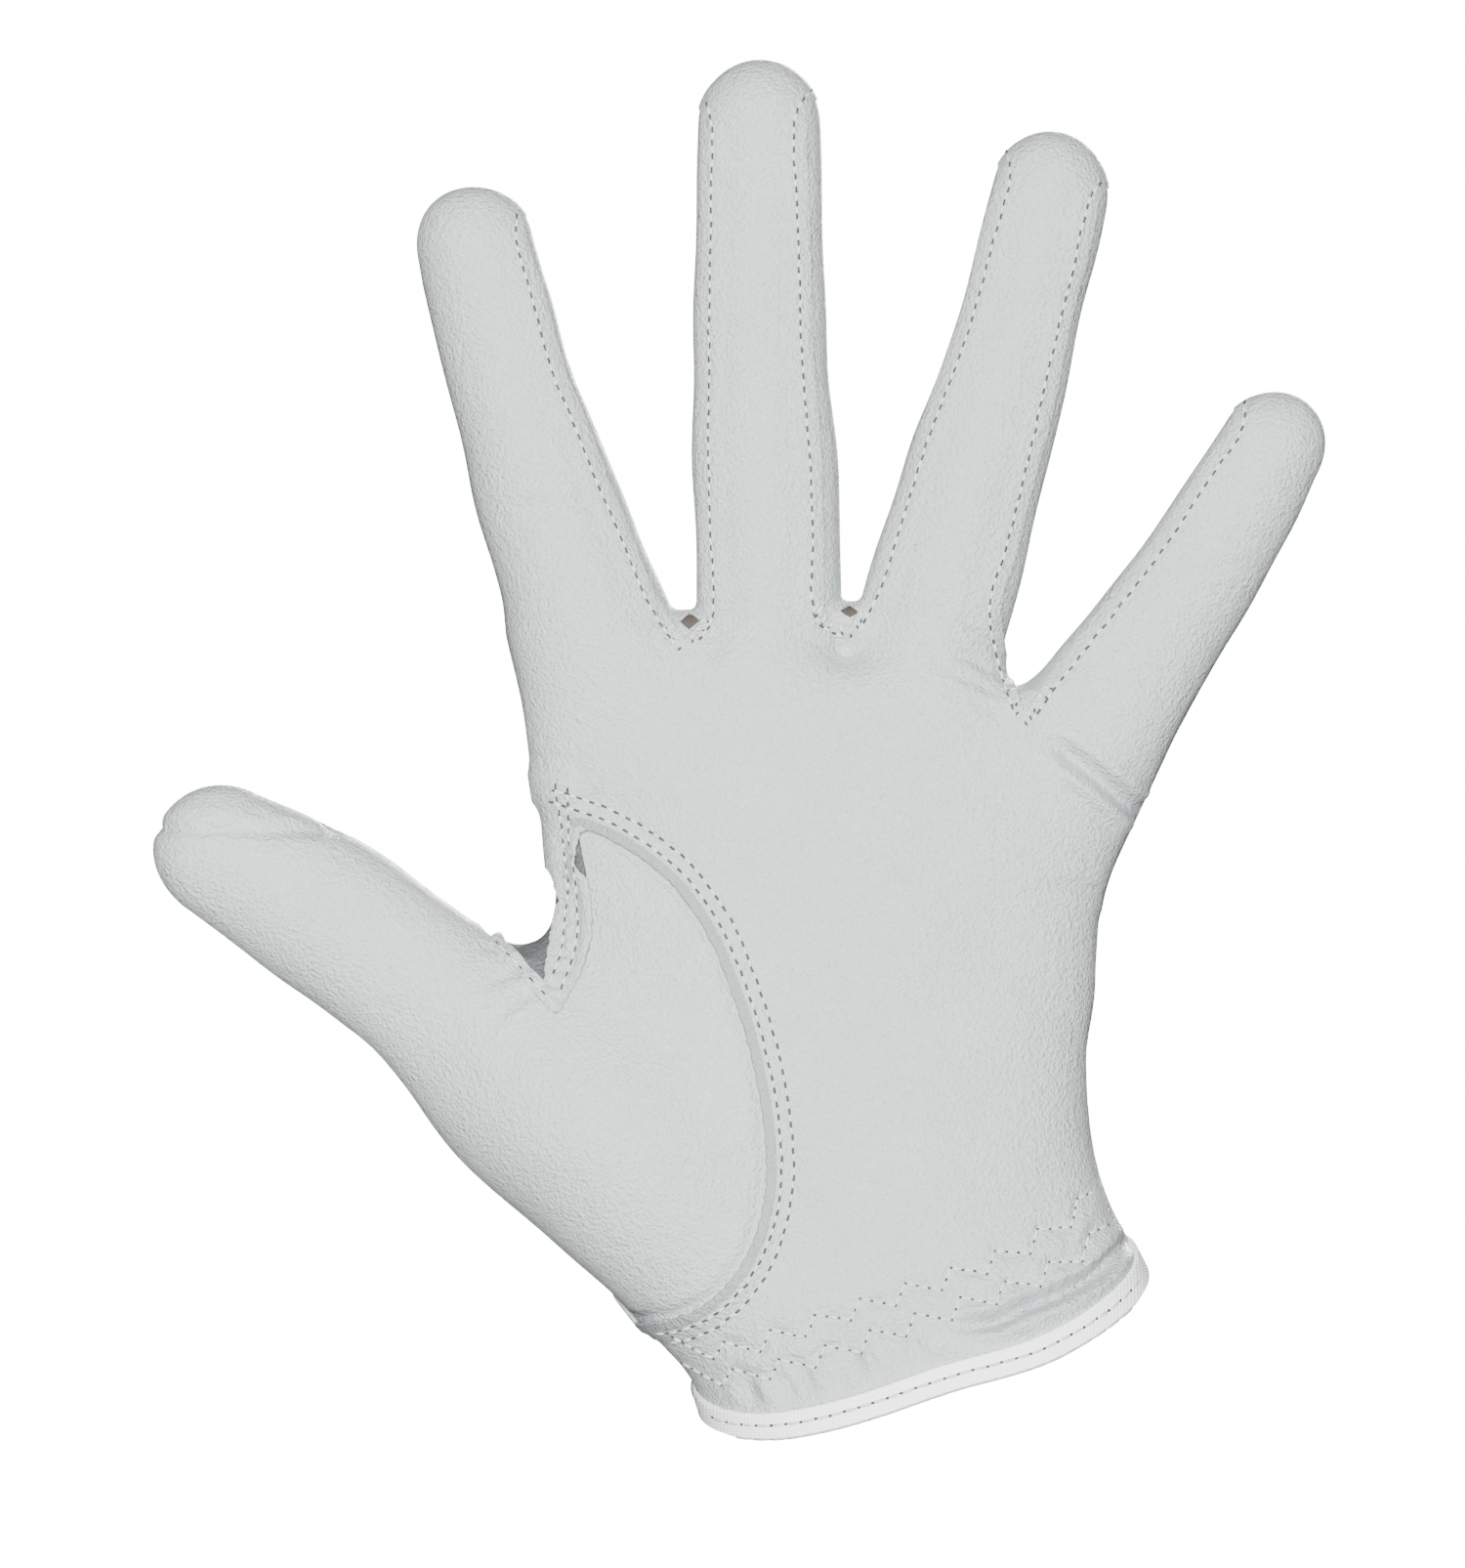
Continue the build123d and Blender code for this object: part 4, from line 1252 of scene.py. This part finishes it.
for line in (UPPER_ROW, LOWER_ROW):
    starts = np.arange(-34.0, 35.0, ZIGZAG)
    starts = np.floor(starts / ZIGZAG) * ZIGZAG
    for start in starts:
        corners_u = np.array((start, start + ZIGZAG * ZIGZAG_FALL, start + ZIGZAG))
        heights = np.array((0.5, -0.5, 0.5)) * ZIGZAG_HEIGHT
        corners_h = np.interp(corners_u, *line.T) + heights
        corners = on_wrist(np.stack((corners_u, corners_h), -1))
        sew(corners[:2], -1, "wrist", 1.7, THREAD * 0.95, 0.1, hole=0.55, gap=0.24)
        sew(corners[1:], -1, "wrist", 1.5, THREAD * 0.95, 0.1, hole=0.55, gap=0.24)

# %% Rows on the tape, the tab and the slit
def hem_line(level, side, first=-35.5, last=35.5):
    """Places at one height above the hem's edge."""
    row = []
    for across in np.linspace(first, last, 60):
        up = level
        for _ in range(5):
            place = on_wrist(((across, up),))[0]
            point, _ = dropped(place, side, "tape")
            if point is None:
                break
            up += level - hem_height(point[None])[0]
        if point is not None:
            row.append(place)
    return row


def sew_tape(line, side):
    sew(line, side, "hem", 2.3, THREAD, 0.06, "tape", 0.7, 0.3)


TAPE_ROW = TAPE - 0.9    # the row lies this far above the hem's edge
sew_tape(hem_line(TAPE_ROW, -1), -1)
sew(hem_line(-0.5, -1, -33, 33), -1, "edge", 2.6, 0.2, 0.03, "tape", 0, 0.1)
sew_tape(hem_line(TAPE_ROW, 1, SLIT_U + 6, 34), 1)
sew_tape(hem_line(TAPE_ROW, 1, -34, SLIT_U - 6), 1)
for side in (-1, 1):
    slit_line = [(SLIT_U + side * (np.interp(up, (0, SLIT_TOP), (SLIT_MOUTH, SLIT_TIP)) + 2.2), up)
                 for up in np.linspace(14.5, SLIT_TOP, 20)]
    sew_tape(on_wrist(slit_line), 1)


def tab_row(inset):
    """Places round the tab, that far inside its edge."""
    left, right, low, high = TAB_LEFT + inset, TAB_RIGHT - inset, TAB_LOW + inset, TAB_HIGH - inset
    bend = TAB_CORNER - inset
    turns = [math.radians(angle) for angle in range(0, 91, 15)]
    row = [(left, low)]
    row += [(right - bend + bend * math.sin(turn), low + bend - bend * math.cos(turn)) for turn in turns]
    row += [(right - bend + bend * math.cos(turn), high - bend + bend * math.sin(turn)) for turn in turns]
    return row + [(left, high), (left, low)]


TAB_ROW = 1.6            # the tab's stitches lie this far in from its edge and from its fold
sew(on_wrist(tab_row(TAB_ROW)), 1, "tab", 2.3, skin="tab")
beside_fold = [(TAB_FOLD - TAB_ROW, up) for up in (TAB_LOW + TAB_ROW, TAB_HIGH - TAB_ROW)]
sew(on_wrist(beside_fold), 1, "tab", 2.3, skin="tab")

# %% Threads become pieces
def thread_piece(key, group_finish):
    group, name = key.rsplit("_", 1)
    thread_points, faces = threads[key]
    mesh = bpy.data.meshes.new(key)
    mesh.from_pydata((np.array(thread_points) * MM).tolist(), [], faces)
    mesh.polygons.foreach_set("use_smooth", np.ones(len(faces), bool))
    mesh.materials.append(group_finish[group])
    # needle-hole pieces are dark bars of painted shadow
    piece = add_object(f"{name}_{group}_stitching" if "hole" not in group else f"{name}_{group}s", mesh)
    if group in ("tab", "tabhole"):
        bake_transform(piece)
    else:
        attach(piece, "hand", digits.get(name))
    print(f"{piece.name}: {len(faces)} faces")


for key in sorted(threads):
    thread_piece(key, {"seam": thread, "crotch": thread, "wrist": thread, "hem": thread, "edge": tan_thread,
                       "tab": thread, "tabhole": hole_shadow_finish, "hole": hole_shadow_finish})

# %% [markdown]
# ## Surround
# The surround is white where the camera sees it and far dimmer as light, so the leather keeps its shading.

# %% Surround
SURROUND_SEEN, SURROUND_LIGHT = 16.0, 0.08
world = bpy.data.worlds.new("surround")
world.use_nodes = True
bpy.context.scene.world = world
surround = world.node_tree
backdrop = surround.nodes["Background"]
seen = add_node(surround, "ShaderNodeLightPath", {}, {})
strength = seen * (SURROUND_SEEN - SURROUND_LIGHT) + SURROUND_LIGHT
surround.links.new(strength.socket, backdrop.inputs["Strength"])
backdrop.inputs["Color"].default_value = (1, 1, 1, 1)
